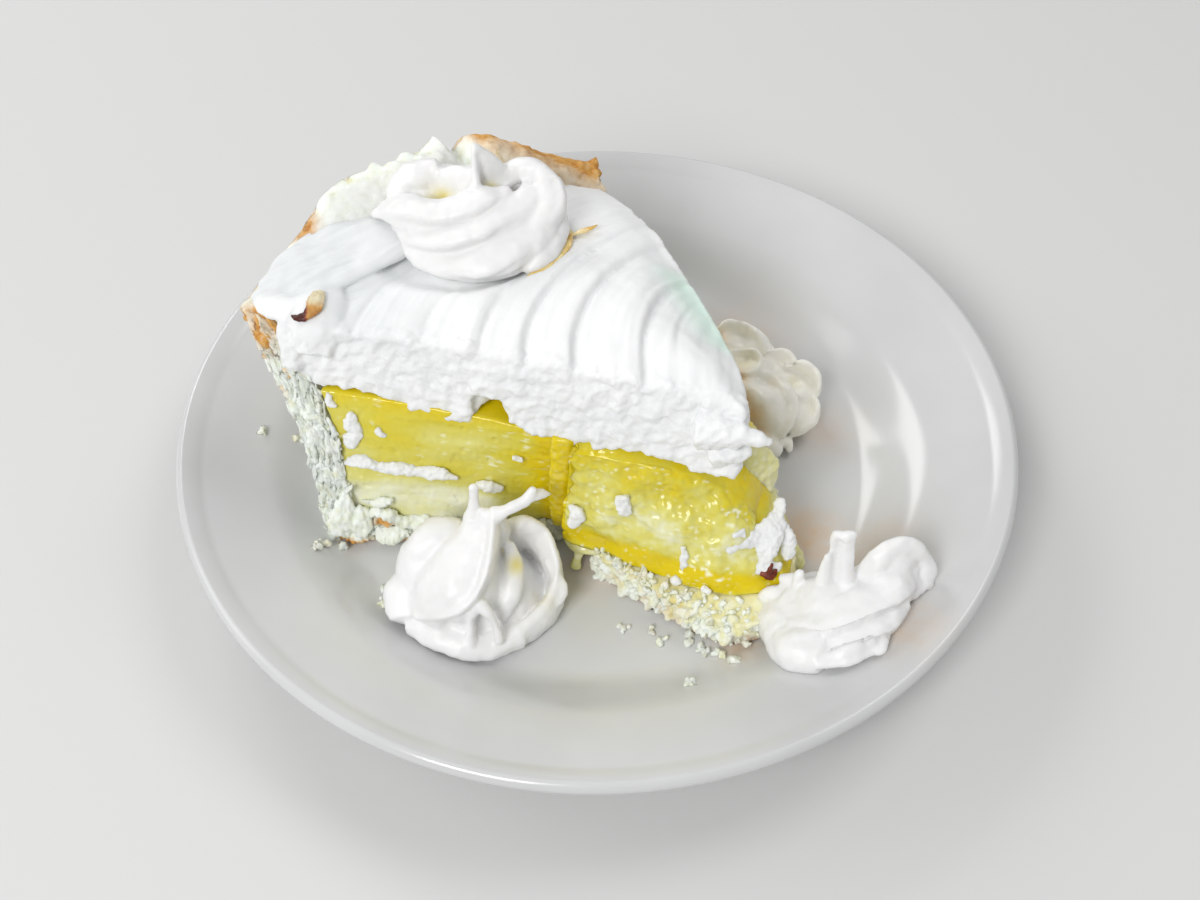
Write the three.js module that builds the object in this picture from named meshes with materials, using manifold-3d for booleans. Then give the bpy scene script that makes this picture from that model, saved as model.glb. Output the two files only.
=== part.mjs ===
// Lemon meringue pie: one cut slice whose tip has broken off and slid forward, served on a round
// rimmed plate with four piped whirls of cream.
// Millimetres, +Z up. Origin: middle of the plate's foot, on the table. The long cut face of the
// slice looks towards -Y, its crust is at the left and back, its tip points right.
import * as THREE from 'three';
import { mergeVertices } from 'three/addons/utils/BufferGeometryUtils.js';
import { ImprovedNoise } from 'three/addons/math/ImprovedNoise.js';
import Module from 'manifold-3d';

// ---- Driving dimensions -------------------------------------------------------------------

const GAP = 0.35; // air left between pieces that lie on each other

// Plate
const PLATE_RADIUS = 92;
const PLATE_THICKNESS = 4.2;
const LIP_HEIGHT = 21.3;
const LIP_ROUND = 1.7;
const SHOULDER_RADIUS = 74.6; // where the broad rim breaks down into the well
const SHOULDER_HEIGHT = 14.8;
const WELL_RADIUS = 58; // flat floor of the well
const WELL_FLOOR = 5.5;
const RIM_SLOPE = 0.33;
const FOOT_RADIUS = 54;
const FOOT_WIDTH = 4;
const FOOT_HEIGHT = 2;
const PLATE_SEGMENTS = 56;

// Slice in plan: the long front cut and the short back cut run from the broken end to the rim
const BROKEN_END_FRONT = point(-8.6, -25.2);
const BROKEN_END_BACK = point(15.4, -1);
const BASE_FRONT = point(-58.7, -24);
const BASE_BACK = point(1.5, 26.8);
const BASE_BULGE = 14;
const RIM_FRONT = point(-72.2, -3.2);
const RIM_BACK = point(-1.2, 42.3);
const RIM_BULGE = 13;

// Crust
const CRUST_BOTTOM = WELL_FLOOR + GAP;
const BASE_CRUST = 7.5; // thickness under the filling
const WALL_CRUST = 5.2;
const RIM_CRUST = 9;
const RIM_ROLL = 2; // the inner edge of the rim lies this much below its outer edge
const RIM_END_HEIGHT = 55;
const RIM_CREST = 11; // how far the middle of the rim stands above its ends
const RIM_RISEN_AT = 0.42;
const RIM_FALLS_AT = 0.72;
const WALL_FLARE = 3.1; // power of the curve from the upright wall into the flared rim
const CUT_LEAN = 10; // the front cut leans back by this much at the crust
const BASE_SHARE = 0.42; // part of the grid that lies under the filling
const CRIMPS = 3;
const CRIMP_DEPTH = 1.3;
const RIM_NOTCH_AT = 0.665;
const RIM_NOTCH_WIDTH = 0.022;
const RIM_NOTCH_DEPTH = 4.2;
const TORN = 1.1; // relief of a torn cut face
const FLAKY = 0.4; // relief of a baked outer face

// Filling and meringue
const FILLING_HEIGHT = 41.5; // top of the filling at the middle of the plate
const FILLING_SLOPE = -0.04; // it sags towards the tip
const MERINGUE_TOP = 59.5;
const MERINGUE_DOME = 2.2;
const MERINGUE_TIP_FRONT = point(27, -34.6);
const MERINGUE_TIP_BACK = point(29, -31);
const MERINGUE_RIM_FRONT = point(-60.3, -12.8);
const MERINGUE_CORNER_SPREAD = 2.7; // its top corner spreads out over the end of the rim
const MERINGUE_BACK_BULGE = 2.8;
const MERINGUE_LIP = 1.4; // how far its front edge hangs out over the filling
const SMEAR_AT = 0.15; // where it is smeared out over the rim
const SMEAR_WIDTH = 0.13;
const SMEAR_REACH = 8;
const GROOVES = [-48, -33, -22, -13.6, -4, 9.2]; // where the spatula marks reach the front cut
const GROOVE_WIDTH = 3;
const GROOVE_DEPTH = 1.7;
const GROOVE_SWEEP = 0.016;
const FRONT_CUT_Y = -20;

// Piped whirls
const SEAT_HEIGHT = 58.2; // flat spot on the meringue under the whirl on top
const TOP_WHIRL = point(-28, 18);
const TOP_WHIRL_RADIUS = 19;
const WHIRL_LIFT = 0.8; // clears the curve of the plate's shoulder
const PLEAT_DEPTH = 0.24; // as a share of the radius

// ---- Shape helpers ------------------------------------------------------------------------

const wasm = await Module();
wasm.setup();
const noise = new ImprovedNoise();

function point(x, y) {
  return new THREE.Vector2(x, y);
}

function mix(a, b, t) {
  return a + (b - a) * t;
}

// A bow from a to b that bulges to the left of the way from a to b.
function bow(a, b, t, bulge) {
  const chord = b.clone().sub(a);
  const side = point(-chord.y, chord.x).normalize();
  return a.clone().lerp(b, t).addScaledVector(side, 4 * bulge * t * (1 - t));
}

// Smooth uneven relief, about -1 to 1, whose lumps are `size` across.
function lumps(p, size, seed) {
  return noise.noise(p.x / size + seed, p.y / size - seed, p.z / size + 0.5 * seed);
}

function weld(geometry) {
  geometry.deleteAttribute('normal');
  geometry.deleteAttribute('uv');
  const welded = mergeVertices(geometry, 1e-3);
  welded.computeVertexNormals();
  return welded;
}

// A block of grid cells bent into shape: `place` maps u, v, w (each 0 to 1) to a point.
function bentBlock(cells, place) {
  const geometry = new THREE.BoxGeometry(1, 1, 1, ...cells);
  const grid = geometry.attributes.position;
  for (let i = 0; i < grid.count; i += 1) {
    const p = place(grid.getX(i) + 0.5, grid.getY(i) + 0.5, grid.getZ(i) + 0.5);
    grid.setXYZ(i, p.x, p.y, p.z);
  }
  return weld(geometry);
}

// A ball of rings bent into shape: `place` maps a turn and a level (0 underside to 1 top).
function bentBall(turns, levels, place) {
  const geometry = new THREE.SphereGeometry(1, turns, levels);
  const grid = geometry.attributes.position;
  for (let i = 0; i < grid.count; i += 1) {
    const level = 1 - Math.acos(THREE.MathUtils.clamp(grid.getY(i), -1, 1)) / Math.PI;
    const turn = Math.atan2(-grid.getZ(i), grid.getX(i));
    const p = place(turn, level);
    grid.setXYZ(i, p.x, p.y, p.z);
  }
  return weld(geometry);
}

// The same closed surface pushed outwards by `distance`.
function swollen(geometry, distance) {
  const wide = geometry.clone();
  const { position, normal } = wide.attributes;
  for (let i = 0; i < position.count; i += 1) {
    position.setXYZ(
      i,
      position.getX(i) + normal.getX(i) * distance,
      position.getY(i) + normal.getY(i) * distance,
      position.getZ(i) + normal.getZ(i) * distance,
    );
  }
  return wide;
}

function toSolid(geometry) {
  const vertProperties = new Float32Array(geometry.attributes.position.array);
  const triVerts = new Uint32Array(geometry.index.array);
  return new wasm.Manifold(new wasm.Mesh({ numProp: 3, vertProperties, triVerts }));
}

// The geometry less every neighbour, each with its air gap.
function fitted(geometry, neighbours) {
  let solid = toSolid(geometry);
  for (const neighbour of neighbours) {
    solid = solid.subtract(toSolid(swollen(neighbour, GAP)));
  }
  const { vertProperties, triVerts } = solid.getMesh();
  const result = new THREE.BufferGeometry();
  result.setAttribute('position', new THREE.BufferAttribute(vertProperties, 3));
  result.setIndex(new THREE.BufferAttribute(triVerts, 1));
  result.computeVertexNormals();
  return result;
}

function matte(colour, roughness) {
  return new THREE.MeshStandardMaterial({ color: colour, roughness, metalness: 0 });
}

const group = new THREE.Group();

function piece(name, geometry, material) {
  const mesh = new THREE.Mesh(geometry, material);
  mesh.name = name;
  group.add(mesh);
}

// ---- Plate: a turned profile with a foot ring, a well and a broad rim with a rolled lip ----

// Upper face of the plate at a distance from its middle.
function plateTop(radius) {
  const wall = THREE.MathUtils.smoothstep(radius, WELL_RADIUS, SHOULDER_RADIUS + 1);
  const rim = RIM_SLOPE * Math.max(0, radius - SHOULDER_RADIUS);
  return mix(WELL_FLOOR, SHOULDER_HEIGHT, wall) + rim;
}

function plateGeometry() {
  const lipRadius = PLATE_RADIUS - LIP_ROUND;
  const profile = new THREE.Path();
  profile.moveTo(0, FOOT_HEIGHT);
  profile.lineTo(FOOT_RADIUS - FOOT_WIDTH, FOOT_HEIGHT);
  profile.lineTo(FOOT_RADIUS - FOOT_WIDTH * 0.7, 0);
  profile.lineTo(FOOT_RADIUS, 0);
  for (const radius of [WELL_RADIUS + 2, WELL_RADIUS + 9, SHOULDER_RADIUS]) {
    profile.lineTo(radius + 1, plateTop(radius) - PLATE_THICKNESS);
  }
  profile.lineTo(lipRadius, LIP_HEIGHT - LIP_ROUND * 2);
  profile.absarc(lipRadius, LIP_HEIGHT - LIP_ROUND, LIP_ROUND, -Math.PI / 2, Math.PI / 2, false);
  profile.lineTo(lipRadius - 3, plateTop(lipRadius - 3));
  const steps = 8;
  for (let i = 0; i <= steps; i += 1) {
    const radius = mix(SHOULDER_RADIUS + 2, WELL_RADIUS, i / steps);
    profile.lineTo(radius, plateTop(radius));
  }
  profile.lineTo(0, WELL_FLOOR);
  const turned = new THREE.LatheGeometry(profile.getPoints(3), PLATE_SEGMENTS);
  turned.rotateX(Math.PI / 2);
  return weld(turned);
}

// Lifts a point that would lie in the plate until it just clears it.
function restOnPlate(p) {
  p.z = Math.max(p.z, plateTop(Math.hypot(p.x, p.y)) + GAP);
}

// ---- Crust: a flat base and one flared outer wall with a crimped, uneven rim ---------------

function rimHeight(u) {
  const { smoothstep } = THREE.MathUtils;
  const arch = smoothstep(u, 0, RIM_RISEN_AT) * (1 - 0.9 * smoothstep(u, RIM_FALLS_AT, 1));
  const notch = Math.exp(-(((u - RIM_NOTCH_AT) / RIM_NOTCH_WIDTH) ** 2));
  return RIM_END_HEIGHT + RIM_CREST * arch - RIM_NOTCH_DEPTH * notch;
}

// Outer face of the wall in plan, at a share of the way from the base (0) to the rim (1).
function wallPlan(u, share) {
  const flare = share ** WALL_FLARE;
  const base = bow(BASE_FRONT, BASE_BACK, u, BASE_BULGE);
  const crimp = CRIMP_DEPTH * Math.cos(2 * Math.PI * CRIMPS * u) * share ** 4;
  const rim = bow(RIM_FRONT, RIM_BACK, u, RIM_BULGE + crimp);
  const plan = base.lerp(rim, flare);
  plan.y += CUT_LEAN * (share - flare) * (1 - u) ** 2;
  return plan;
}

// The same face moved towards the broken end by a share of the crust's thickness and a gap.
function insetPlan(u, share, part, gap) {
  const outer = wallPlan(u, share);
  const inner = BROKEN_END_FRONT.clone().lerp(BROKEN_END_BACK, u);
  const depth = mix(WALL_CRUST, RIM_CRUST, share ** 3) * part + gap;
  return outer.addScaledVector(inner.sub(outer).normalize(), depth);
}

function crustGeometry() {
  return bentBlock([28, 15, 3], (u, v, w) => {
    const end = BROKEN_END_FRONT.clone().lerp(BROKEN_END_BACK, u);
    const share = Math.max(0, (v - BASE_SHARE) / (1 - BASE_SHARE));
    const wall = insetPlan(u, share, w, 0);
    const plan = v < BASE_SHARE ? end.lerp(wall, v / BASE_SHARE) : wall;
    const floor = CRUST_BOTTOM + BASE_CRUST * w;
    const rim = rimHeight(u) + 1.5 * Math.sin(Math.PI * w) - RIM_ROLL * w;
    const p = new THREE.Vector3(plan.x, plan.y, mix(floor, rim, share));
    // Torn and flaky at the cut faces and along the rim, smooth where the filling lies
    const rough = u === 0 || u === 1 || v === 0 ? TORN : FLAKY * (1 - w);
    const relief = rough * lumps(p, 4.3, 2.7);
    p.x += relief * 0.6;
    p.y += relief;
    p.z += share > 0.9 ? TORN * lumps(p, 5, 8.1) : 0;
    restOnPlate(p);
    return p;
  });
}

// ---- Lemon filling: from the base crust up to the sagging underside of the meringue ---------

function fillingTop(x, y) {
  const wave = 0.5 * Math.sin(x / 7.5) + 0.35 * Math.sin(y / 6 + 1);
  return FILLING_HEIGHT + FILLING_SLOPE * x + wave;
}

// Inner face of the crust in plan at a height, with a gap to it.
function againstCrust(u, height) {
  const floor = CRUST_BOTTOM + BASE_CRUST;
  const share = (height - floor) / (rimHeight(u) - RIM_ROLL - floor);
  return insetPlan(u, Math.min(1, share), 1, 2 * GAP);
}

function fillingGeometry() {
  const floor = CRUST_BOTTOM + BASE_CRUST;
  return bentBlock([10, 14, 5], (u, v, w) => {
    const across = mix(0.025, 0.98, u);
    const inner = BROKEN_END_FRONT.clone().lerp(BROKEN_END_BACK, across);
    const plan = inner.lerp(againstCrust(across, mix(floor, FILLING_HEIGHT, w)), v);
    const p = new THREE.Vector3(plan.x, plan.y, 0);
    p.z = mix(floor + 1.4 * GAP, fillingTop(p.x, p.y), w);
    p.y += u === 0 || v === 0 ? 0.6 * (1 - w) * lumps(p, 9, 5.3) : 0;
    return p;
  });
}

// ---- Meringue: a thick white cap with spatula grooves, cut rough along the front -------------

function grooves(x, y) {
  const back = Math.max(0, y - FRONT_CUT_Y);
  const along = x - GROOVE_SWEEP * back * back;
  let depth = 0;
  for (const groove of GROOVES) {
    depth += Math.exp(-(((along - groove) / GROOVE_WIDTH) ** 2));
  }
  return GROOVE_DEPTH * depth;
}

function meringueTop(x, y, u, v) {
  const dome = MERINGUE_DOME * Math.sin(Math.PI * u) * Math.sin(Math.PI * (0.15 + 0.7 * v));
  const tipFall = 3.5 * (1 - v) ** 4;
  const rimFall = 2.5 * v ** 6;
  const open = MERINGUE_TOP + dome - tipFall - rimFall - grooves(x, y);
  const fromWhirl = Math.hypot(x - TOP_WHIRL.x, y - TOP_WHIRL.y);
  const cover = THREE.MathUtils.smoothstep(fromWhirl, TOP_WHIRL_RADIUS + 1, TOP_WHIRL_RADIUS + 7);
  return mix(SEAT_HEIGHT, open, cover);
}

// Share of the way from the front edge to the back edge: the first row of cells is the narrow lip.
function lipRow(u, span, rows) {
  const lip = MERINGUE_LIP / span;
  return u * rows < 1 ? u * rows * lip : mix(lip, 1, (u * rows - 1) / (rows - 1));
}

function meringueGeometry() {
  const rows = 11;
  return bentBlock([rows, 34, 4], (u, v, w) => {
    const front = MERINGUE_TIP_FRONT.clone().lerp(MERINGUE_RIM_FRONT, v);
    front.x -= MERINGUE_CORNER_SPREAD * w * v ** 6;
    const span = MERINGUE_TIP_FRONT.distanceTo(MERINGUE_TIP_BACK) + 45 * v;
    const across = lipRow(u, span, rows);
    const rim = againstCrust(0.985 * across, mix(FILLING_HEIGHT, MERINGUE_TOP, w));
    const smear = w * Math.exp(-(((across - SMEAR_AT) / SMEAR_WIDTH) ** 2)) * v ** 8;
    rim.addScaledVector(point(-0.88, 0.47), SMEAR_REACH * smear);
    const tip = MERINGUE_TIP_FRONT.clone().lerp(MERINGUE_TIP_BACK, across);
    const inside = bow(tip, rim, v, -MERINGUE_BACK_BULGE * across);
    const plan = u === 0 ? front : inside;
    const p = new THREE.Vector3(plan.x, plan.y, 0);
    const droop = u === 0 ? 1 + 1.8 * Math.abs(lumps(p, 13, 3.3)) : -3 * GAP;
    const top = meringueTop(p.x, p.y, across, v) + 3.5 * smear;
    p.z = mix(fillingTop(p.x, p.y) - droop, top, w);
    // The front cut leans back a little and is torn; the other edges are soft
    p.y += 2.4 * (1 - across) ** 4 * w;
    p.y -= u === 0 || v === 0 ? TORN * Math.abs(lumps(p, 5.5, 1.9)) : 0;
    return p;
  });
}

// ---- Broken tip: the last piece of base crust and filling, slid forward and slumped ----------

const TIP_FRONT = new THREE.SplineCurve([
  point(-0.5, -33),
  point(9, -41),
  point(19, -48),
  point(29, -52.3),
  point(40, -48),
]);
const TIP_BACK = new THREE.SplineCurve([point(0, -26.5), point(18, -18), point(36, -9)]);

function tipCrustGeometry() {
  return bentBlock([14, 6, 2], (u, v, w) => {
    const front = TIP_FRONT.getPoint(u);
    const back = TIP_BACK.getPoint(u);
    const plan = front.lerp(back, v);
    const p = new THREE.Vector3(plan.x, plan.y, CRUST_BOTTOM + BASE_CRUST * w);
    p.x += 2.5 * Math.sin(Math.PI * v) * u;
    const relief = (v === 0 || u === 0 || u === 1 ? TORN : FLAKY) * lumps(p, 4.1, 6.4);
    p.x += relief * 0.5;
    p.y += relief;
    p.z -= v === 0 ? w * Math.abs(lumps(p, 5, 9.2)) : 0;
    restOnPlate(p);
    return p;
  });
}

const TIP_FILLING_FOOT = new THREE.SplineCurve([
  point(-7.5, -30.5),
  point(1, -33.5),
  point(9, -38.3),
  point(25, -45),
  point(39, -43),
]);
const TIP_FILLING_BROW = new THREE.SplineCurve([point(-5.5, -28), point(13, -31.5), point(32, -33)]);
const TIP_FILLING_BACK = new THREE.SplineCurve([point(-4, -27.3), point(16, -18.5), point(34.5, -11)]);

function tipFillingGeometry() {
  return bentBlock([14, 7, 5], (u, v, w) => {
    const foot = TIP_FILLING_FOOT.getPoint(u);
    const brow = TIP_FILLING_BROW.getPoint(u);
    const front = foot.lerp(brow, w ** 1.1);
    const back = TIP_FILLING_BACK.getPoint(u);
    const plan = front.lerp(back, v);
    const p = new THREE.Vector3(plan.x, plan.y, 0);
    const low = CRUST_BOTTOM + BASE_CRUST + GAP;
    const high = fillingTop(p.x, p.y) - 0.4 - 2.5 * (1 - v) ** 2 - 13 * u ** 4;
    p.z = mix(low, high, w);
    p.x += 4 * Math.sin(Math.PI * v) * u * (1 - 0.5 * w);
    p.y -= (v === 0 ? TORN : FLAKY) * lumps(p, 8, 4.4);
    return p;
  });
}

// ---- Piped whirls of cream --------------------------------------------------------------------

// Outline of a whirl from the middle of its foot to its tip, in shares of radius and height.
const DROP_OUTLINE = new THREE.SplineCurve([
  point(0, 0),
  point(0.84, 0),
  point(1, 0.2),
  point(0.96, 0.45),
  point(0.74, 0.7),
  point(0.42, 0.88),
  point(0.12, 0.97),
  point(0, 1),
]);
const ROSETTE_OUTLINE = new THREE.SplineCurve([
  point(0, 0),
  point(0.9, 0),
  point(1, 0.14),
  point(0.94, 0.36),
  point(0.74, 0.54),
  point(0.5, 0.62),
  point(0.24, 0.74),
  point(0.1, 0.94),
  point(0, 1),
]);

// A soft ridge on a whirl, or with a negative push a hollow: its direction and width in degrees, the
// height it sits at and how far it runs up and down as shares of the whirl's height, and the push
// outwards in millimetres.
function fold(direction, width, at, run, push) {
  const { degToRad } = THREE.MathUtils;
  return { turn: degToRad(direction), width: degToRad(width), at, run, push };
}

function foldedOut(folds, turn, rise, twist) {
  let out = 0;
  for (const { turn: crest, width, at, run, push } of folds) {
    const aside = 2 * Math.sin((turn - crest + twist * (rise - at)) / 2);
    out += push * Math.exp(-((aside / width) ** 2) - ((rise - at) / run) ** 2);
  }
  return out;
}

// Shallow pleats wind up from a flat foot to a soft leaning peak, with the whirl's own folds on them.
function whirlGeometry({ outline, centre, radius, peak, pleats, twist, lean, folds, seat }) {
  return bentBall(36, 11, (turn, level) => {
    const { x: reach, y } = outline.getPoint(level);
    const rise = Math.max(0, y);
    const crease = 1 - Math.abs(Math.cos(0.5 * pleats * turn + twist * rise));
    const pleated = radius * reach * (1.05 - PLEAT_DEPTH * crease * Math.sin(Math.PI * level));
    const out = pleated + reach ** 0.3 * foldedOut(folds, turn, rise, twist);
    const p = new THREE.Vector3(
      centre.x + out * Math.cos(turn) + lean.x * rise * rise,
      centre.y + out * Math.sin(turn) + lean.y * rise * rise,
      0,
    );
    p.z = mix(seat ?? plateTop(Math.hypot(p.x, p.y)) + WHIRL_LIFT, peak, rise);
    return p;
  });
}

// ---- Assembly ---------------------------------------------------------------------------------

const plate = plateGeometry();
const crust = crustGeometry();
const filling = fitted(fillingGeometry(), [crust]);
const tipCrust = tipCrustGeometry();
const tipFilling = tipFillingGeometry();
const meringue = fitted(meringueGeometry(), [crust, filling, tipFilling]);

const whirlTop = whirlGeometry({
  outline: ROSETTE_OUTLINE,
  centre: TOP_WHIRL,
  radius: TOP_WHIRL_RADIUS,
  peak: 81,
  pleats: 7,
  twist: 3,
  lean: point(3, -1),
  folds: [
    fold(125, 50, 0.1, 0.5, -8), // pressed flat against the crust's rim
    fold(192, 18, 0.2, 0.12, 2.4), // flap
    fold(-20, 34, 0.15, 0.25, 2.6),
    fold(-75, 26, 0.2, 0.2, 1.6),
    fold(15, 24, 0.55, 0.2, 2.4),
    fold(150, 30, 0.5, 0.2, 1.8),
    fold(-105, 40, 0.72, 0.14, -2.6), // hollow in front of the peak
  ],
  seat: SEAT_HEIGHT + GAP,
});
const whirlFront = whirlGeometry({
  outline: DROP_OUTLINE,
  centre: point(-25.5, -39),
  radius: 17.8,
  peak: 34.5,
  pleats: 7,
  twist: 0.7,
  lean: point(4, 1),
  folds: [
    fold(180, 26, 0.15, 0.2, 2),
    fold(148, 24, 0.55, 0.22, 3.4),
    fold(-92, 15, 0.5, 0.32, 3.6), // crest down the front
    fold(-48, 24, 0.6, 0.26, -3.6), // hollow beside the crest
    fold(-12, 26, 0.25, 0.25, 2.2),
    fold(20, 22, 0.5, 0.2, 1.6),
    fold(-96, 20, 0.16, 0.09, -2),
    fold(80, 40, 0.2, 0.3, -3), // pressed against the slice
  ],
});
const whirlBack = whirlGeometry({
  outline: DROP_OUTLINE,
  centre: point(33.5, 15),
  radius: 16.4,
  peak: 26.5,
  pleats: 7,
  twist: 0.9,
  lean: point(-3, 3),
  folds: [
    fold(105, 26, 0.6, 0.25, 3.2),
    fold(50, 20, 0.5, 0.25, 2.2),
    fold(-5, 22, 0.4, 0.25, 2.6),
    fold(-58, 24, 0.4, 0.3, 2.2),
    fold(-98, 18, 0.5, 0.3, -2.6),
    fold(175, 40, 0.2, 0.3, -3), // pressed against the slice
  ],
});
const whirlTip = whirlGeometry({
  outline: DROP_OUTLINE,
  centre: point(47.5, -48),
  radius: 16.6,
  peak: 30,
  pleats: 7,
  twist: 1,
  lean: point(2, 3),
  folds: [
    fold(-38, 34, 0.15, 0.4, -5.4), // drawn out along the rim, so narrow towards it
    fold(30, 30, 0.45, 0.3, 4),
    fold(70, 22, 0.75, 0.2, 2.6),
    fold(-105, 30, 0.15, 0.2, 1.8),
    fold(-150, 24, 0.55, 0.18, -2.8), // dimple
    fold(170, 30, 0.2, 0.2, 1.5),
  ],
});

piece('plate', plate, matte('#dcdad4', 0.22));
piece('crust', crust, matte('#e6dcb6', 0.85));
piece('lemon_filling', filling, matte('#e2cf2a', 0.3));
piece('meringue', meringue, matte('#f4f5f2', 0.75));
piece('tip_crust', tipCrust, matte('#e4ddb9', 0.85));
piece('tip_filling', tipFilling, matte('#e4d23a', 0.3));
piece('whirl_top', fitted(whirlTop, [meringue, crust]), matte('#f7f7f5', 0.6));
piece('whirl_front', fitted(whirlFront, [crust, filling, tipCrust]), matte('#f7f7f5', 0.6));
piece('whirl_back', fitted(whirlBack, [crust, filling, meringue]), matte('#f2f1e6', 0.6));
piece('whirl_tip', fitted(whirlTip, [tipCrust, tipFilling]), matte('#f7f7f5', 0.6));

export default group;
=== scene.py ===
import bpy
import numpy as np
from mathutils import Euler, Matrix, Vector


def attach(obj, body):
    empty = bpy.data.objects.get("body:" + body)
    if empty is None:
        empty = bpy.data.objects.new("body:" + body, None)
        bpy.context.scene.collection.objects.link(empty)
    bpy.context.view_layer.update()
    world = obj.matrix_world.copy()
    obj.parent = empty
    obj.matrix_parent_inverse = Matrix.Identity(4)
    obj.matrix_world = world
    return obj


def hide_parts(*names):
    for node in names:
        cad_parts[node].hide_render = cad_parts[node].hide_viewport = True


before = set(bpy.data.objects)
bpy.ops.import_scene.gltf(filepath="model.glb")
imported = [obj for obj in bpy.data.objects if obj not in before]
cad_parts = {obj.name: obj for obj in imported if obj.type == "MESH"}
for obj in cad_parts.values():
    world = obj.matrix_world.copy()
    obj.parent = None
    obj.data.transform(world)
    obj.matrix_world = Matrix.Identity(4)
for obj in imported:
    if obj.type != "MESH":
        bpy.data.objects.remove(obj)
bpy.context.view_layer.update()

# ---- Plate ---------------------------------------------------------------------------------------
# Round plate of warm grey-white glazed stoneware, 184 mm across, with a broad sloping rim, a well
# and a foot ring that is wiped bare of glaze. A little lemon syrup has run out on to it.

MM = 0.001
PLATE_RADIUS = 92.0
PLATE_THICKNESS = 4.2
LIP_HEIGHT = 21.3
LIP_ROUND = 1.7
SHOULDER_RADIUS = 74.6
SHOULDER_HEIGHT = 14.8
WELL_RADIUS = 58.0
WELL_FLOOR = 5.5
RIM_SLOPE = 0.33
FOOT_RADIUS = 54.0
FOOT_WIDTH = 4.0
FOOT_HEIGHT = 2.0
# Where syrup has run: x, y, spread and strength
SYRUP_STAINS = (
    (1, -31, 7, 0.6),
    (44, -25, 9, 0.9),
    (29, -54, 5, 0.6),
    (34, 36, 11, 0.5),
    (24, 26, 9, 0.8),
    (52, 6, 8, 0.35),
    (58, -32, 9, 0.5),
    (61, -55, 7, 0.5),
)


def linear(code):
    """Linear colour of an sRGB hex code."""
    channels = [int(code[i:i + 2], 16) / 255 for i in (1, 3, 5)]
    return [c / 12.92 if c <= 0.04045 else ((c + 0.055) / 1.055) ** 2.4 for c in channels] + [1.0]


def add(tree, kind, settings=None, links=None, stops=(), out=0):
    """Adds one shader node with its settings, links and colour stops, and returns one of its outputs."""
    node = tree.nodes.new("ShaderNode" + kind)
    for name, value in (settings or {}).items():
        if isinstance(name, str) and hasattr(node, name):
            setattr(node, name, value)
        else:
            node.inputs[name].default_value = value
    for name, socket in (links or {}).items():
        tree.links.new(socket, node.inputs[name])
    for place, (position, code) in enumerate(stops):
        elements = node.color_ramp.elements
        element = elements[place] if place < 2 else elements.new(position)
        element.position = position
        element.color = linear(code)
    return node.outputs[out]


def surface(name, *marks):
    """A new material, its node tree, its object coordinates in metres and the marks it reads."""
    material = bpy.data.materials.new(name)
    material.use_nodes = True
    tree = material.node_tree
    tree.nodes.clear()
    read = [add(tree, "Attribute", {"attribute_name": mark}, out="Fac") for mark in marks]
    return material, tree, add(tree, "TexCoord", out="Object"), *read


def shade(tree, settings, links=None):
    """Ends a material with its one shader."""
    end = tree.nodes.new("ShaderNodeOutputMaterial")
    tree.links.new(add(tree, "BsdfPrincipled", settings, links), end.inputs["Surface"])


def smoothstep(x, low, high):
    """0 below low, 1 above high, t^2 (3 - 2 t) between."""
    t = np.clip((x - low) / (high - low), 0, 1)
    return t * t * (3 - 2 * t)


def mix(a, b, t):
    """a at t = 0, b at t = 1."""
    return a + (b - a) * t


def plate_top(radius):
    """Height of the plate's upper face: mix(floor, shoulder, smoothstep) + slope max(0, r - shoulder)."""
    wall = smoothstep(radius, WELL_RADIUS, SHOULDER_RADIUS + 1)
    return mix(WELL_FLOOR, SHOULDER_HEIGHT, wall) + RIM_SLOPE * np.maximum(0, radius - SHOULDER_RADIUS)


def outward(points, faces):
    """The faces turned so that the closed surface has a positive volume."""
    first, *others = (points[faces[:, i]] for i in range(faces.shape[1]))
    volume = sum(np.sum(first * np.cross(a, b)) for a, b in zip(others, others[1:]))
    return faces if volume > 0 else faces[:, ::-1]


def capped(rings, first, last):
    """Closed triangles over a stack of rings (n, m, 3), shut by a point at either end."""
    n, m, _ = rings.shape
    points = np.concatenate([rings.reshape(-1, 3), [first, last]])
    low = np.arange(n * m).reshape(n, m)
    turn = np.roll(low, -1, 1)
    faces = [
        np.stack([low[:-1], turn[:-1], turn[1:]], -1),
        np.stack([low[:-1], turn[1:], low[1:]], -1),
        np.stack([np.full(m, n * m), turn[0], low[0]], -1),
        np.stack([np.full(m, n * m + 1), low[-1], turn[-1]], -1),
    ]
    return points, outward(points, np.concatenate([f.reshape(-1, 3) for f in faces]))


def turned(profile, turns):
    """Surface of revolution about Z: (r cos a, r sin a, z) for each (r, z) of the profile."""
    a = np.linspace(0, 2 * np.pi, turns, endpoint=False)
    r, z = profile[1:-1, :1], profile[1:-1, 1:]
    rings = np.stack([r * np.cos(a), r * np.sin(a), z + 0 * a], -1)
    return capped(rings, (0, 0, profile[0, 1]), (0, 0, profile[-1, 1]))


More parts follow.
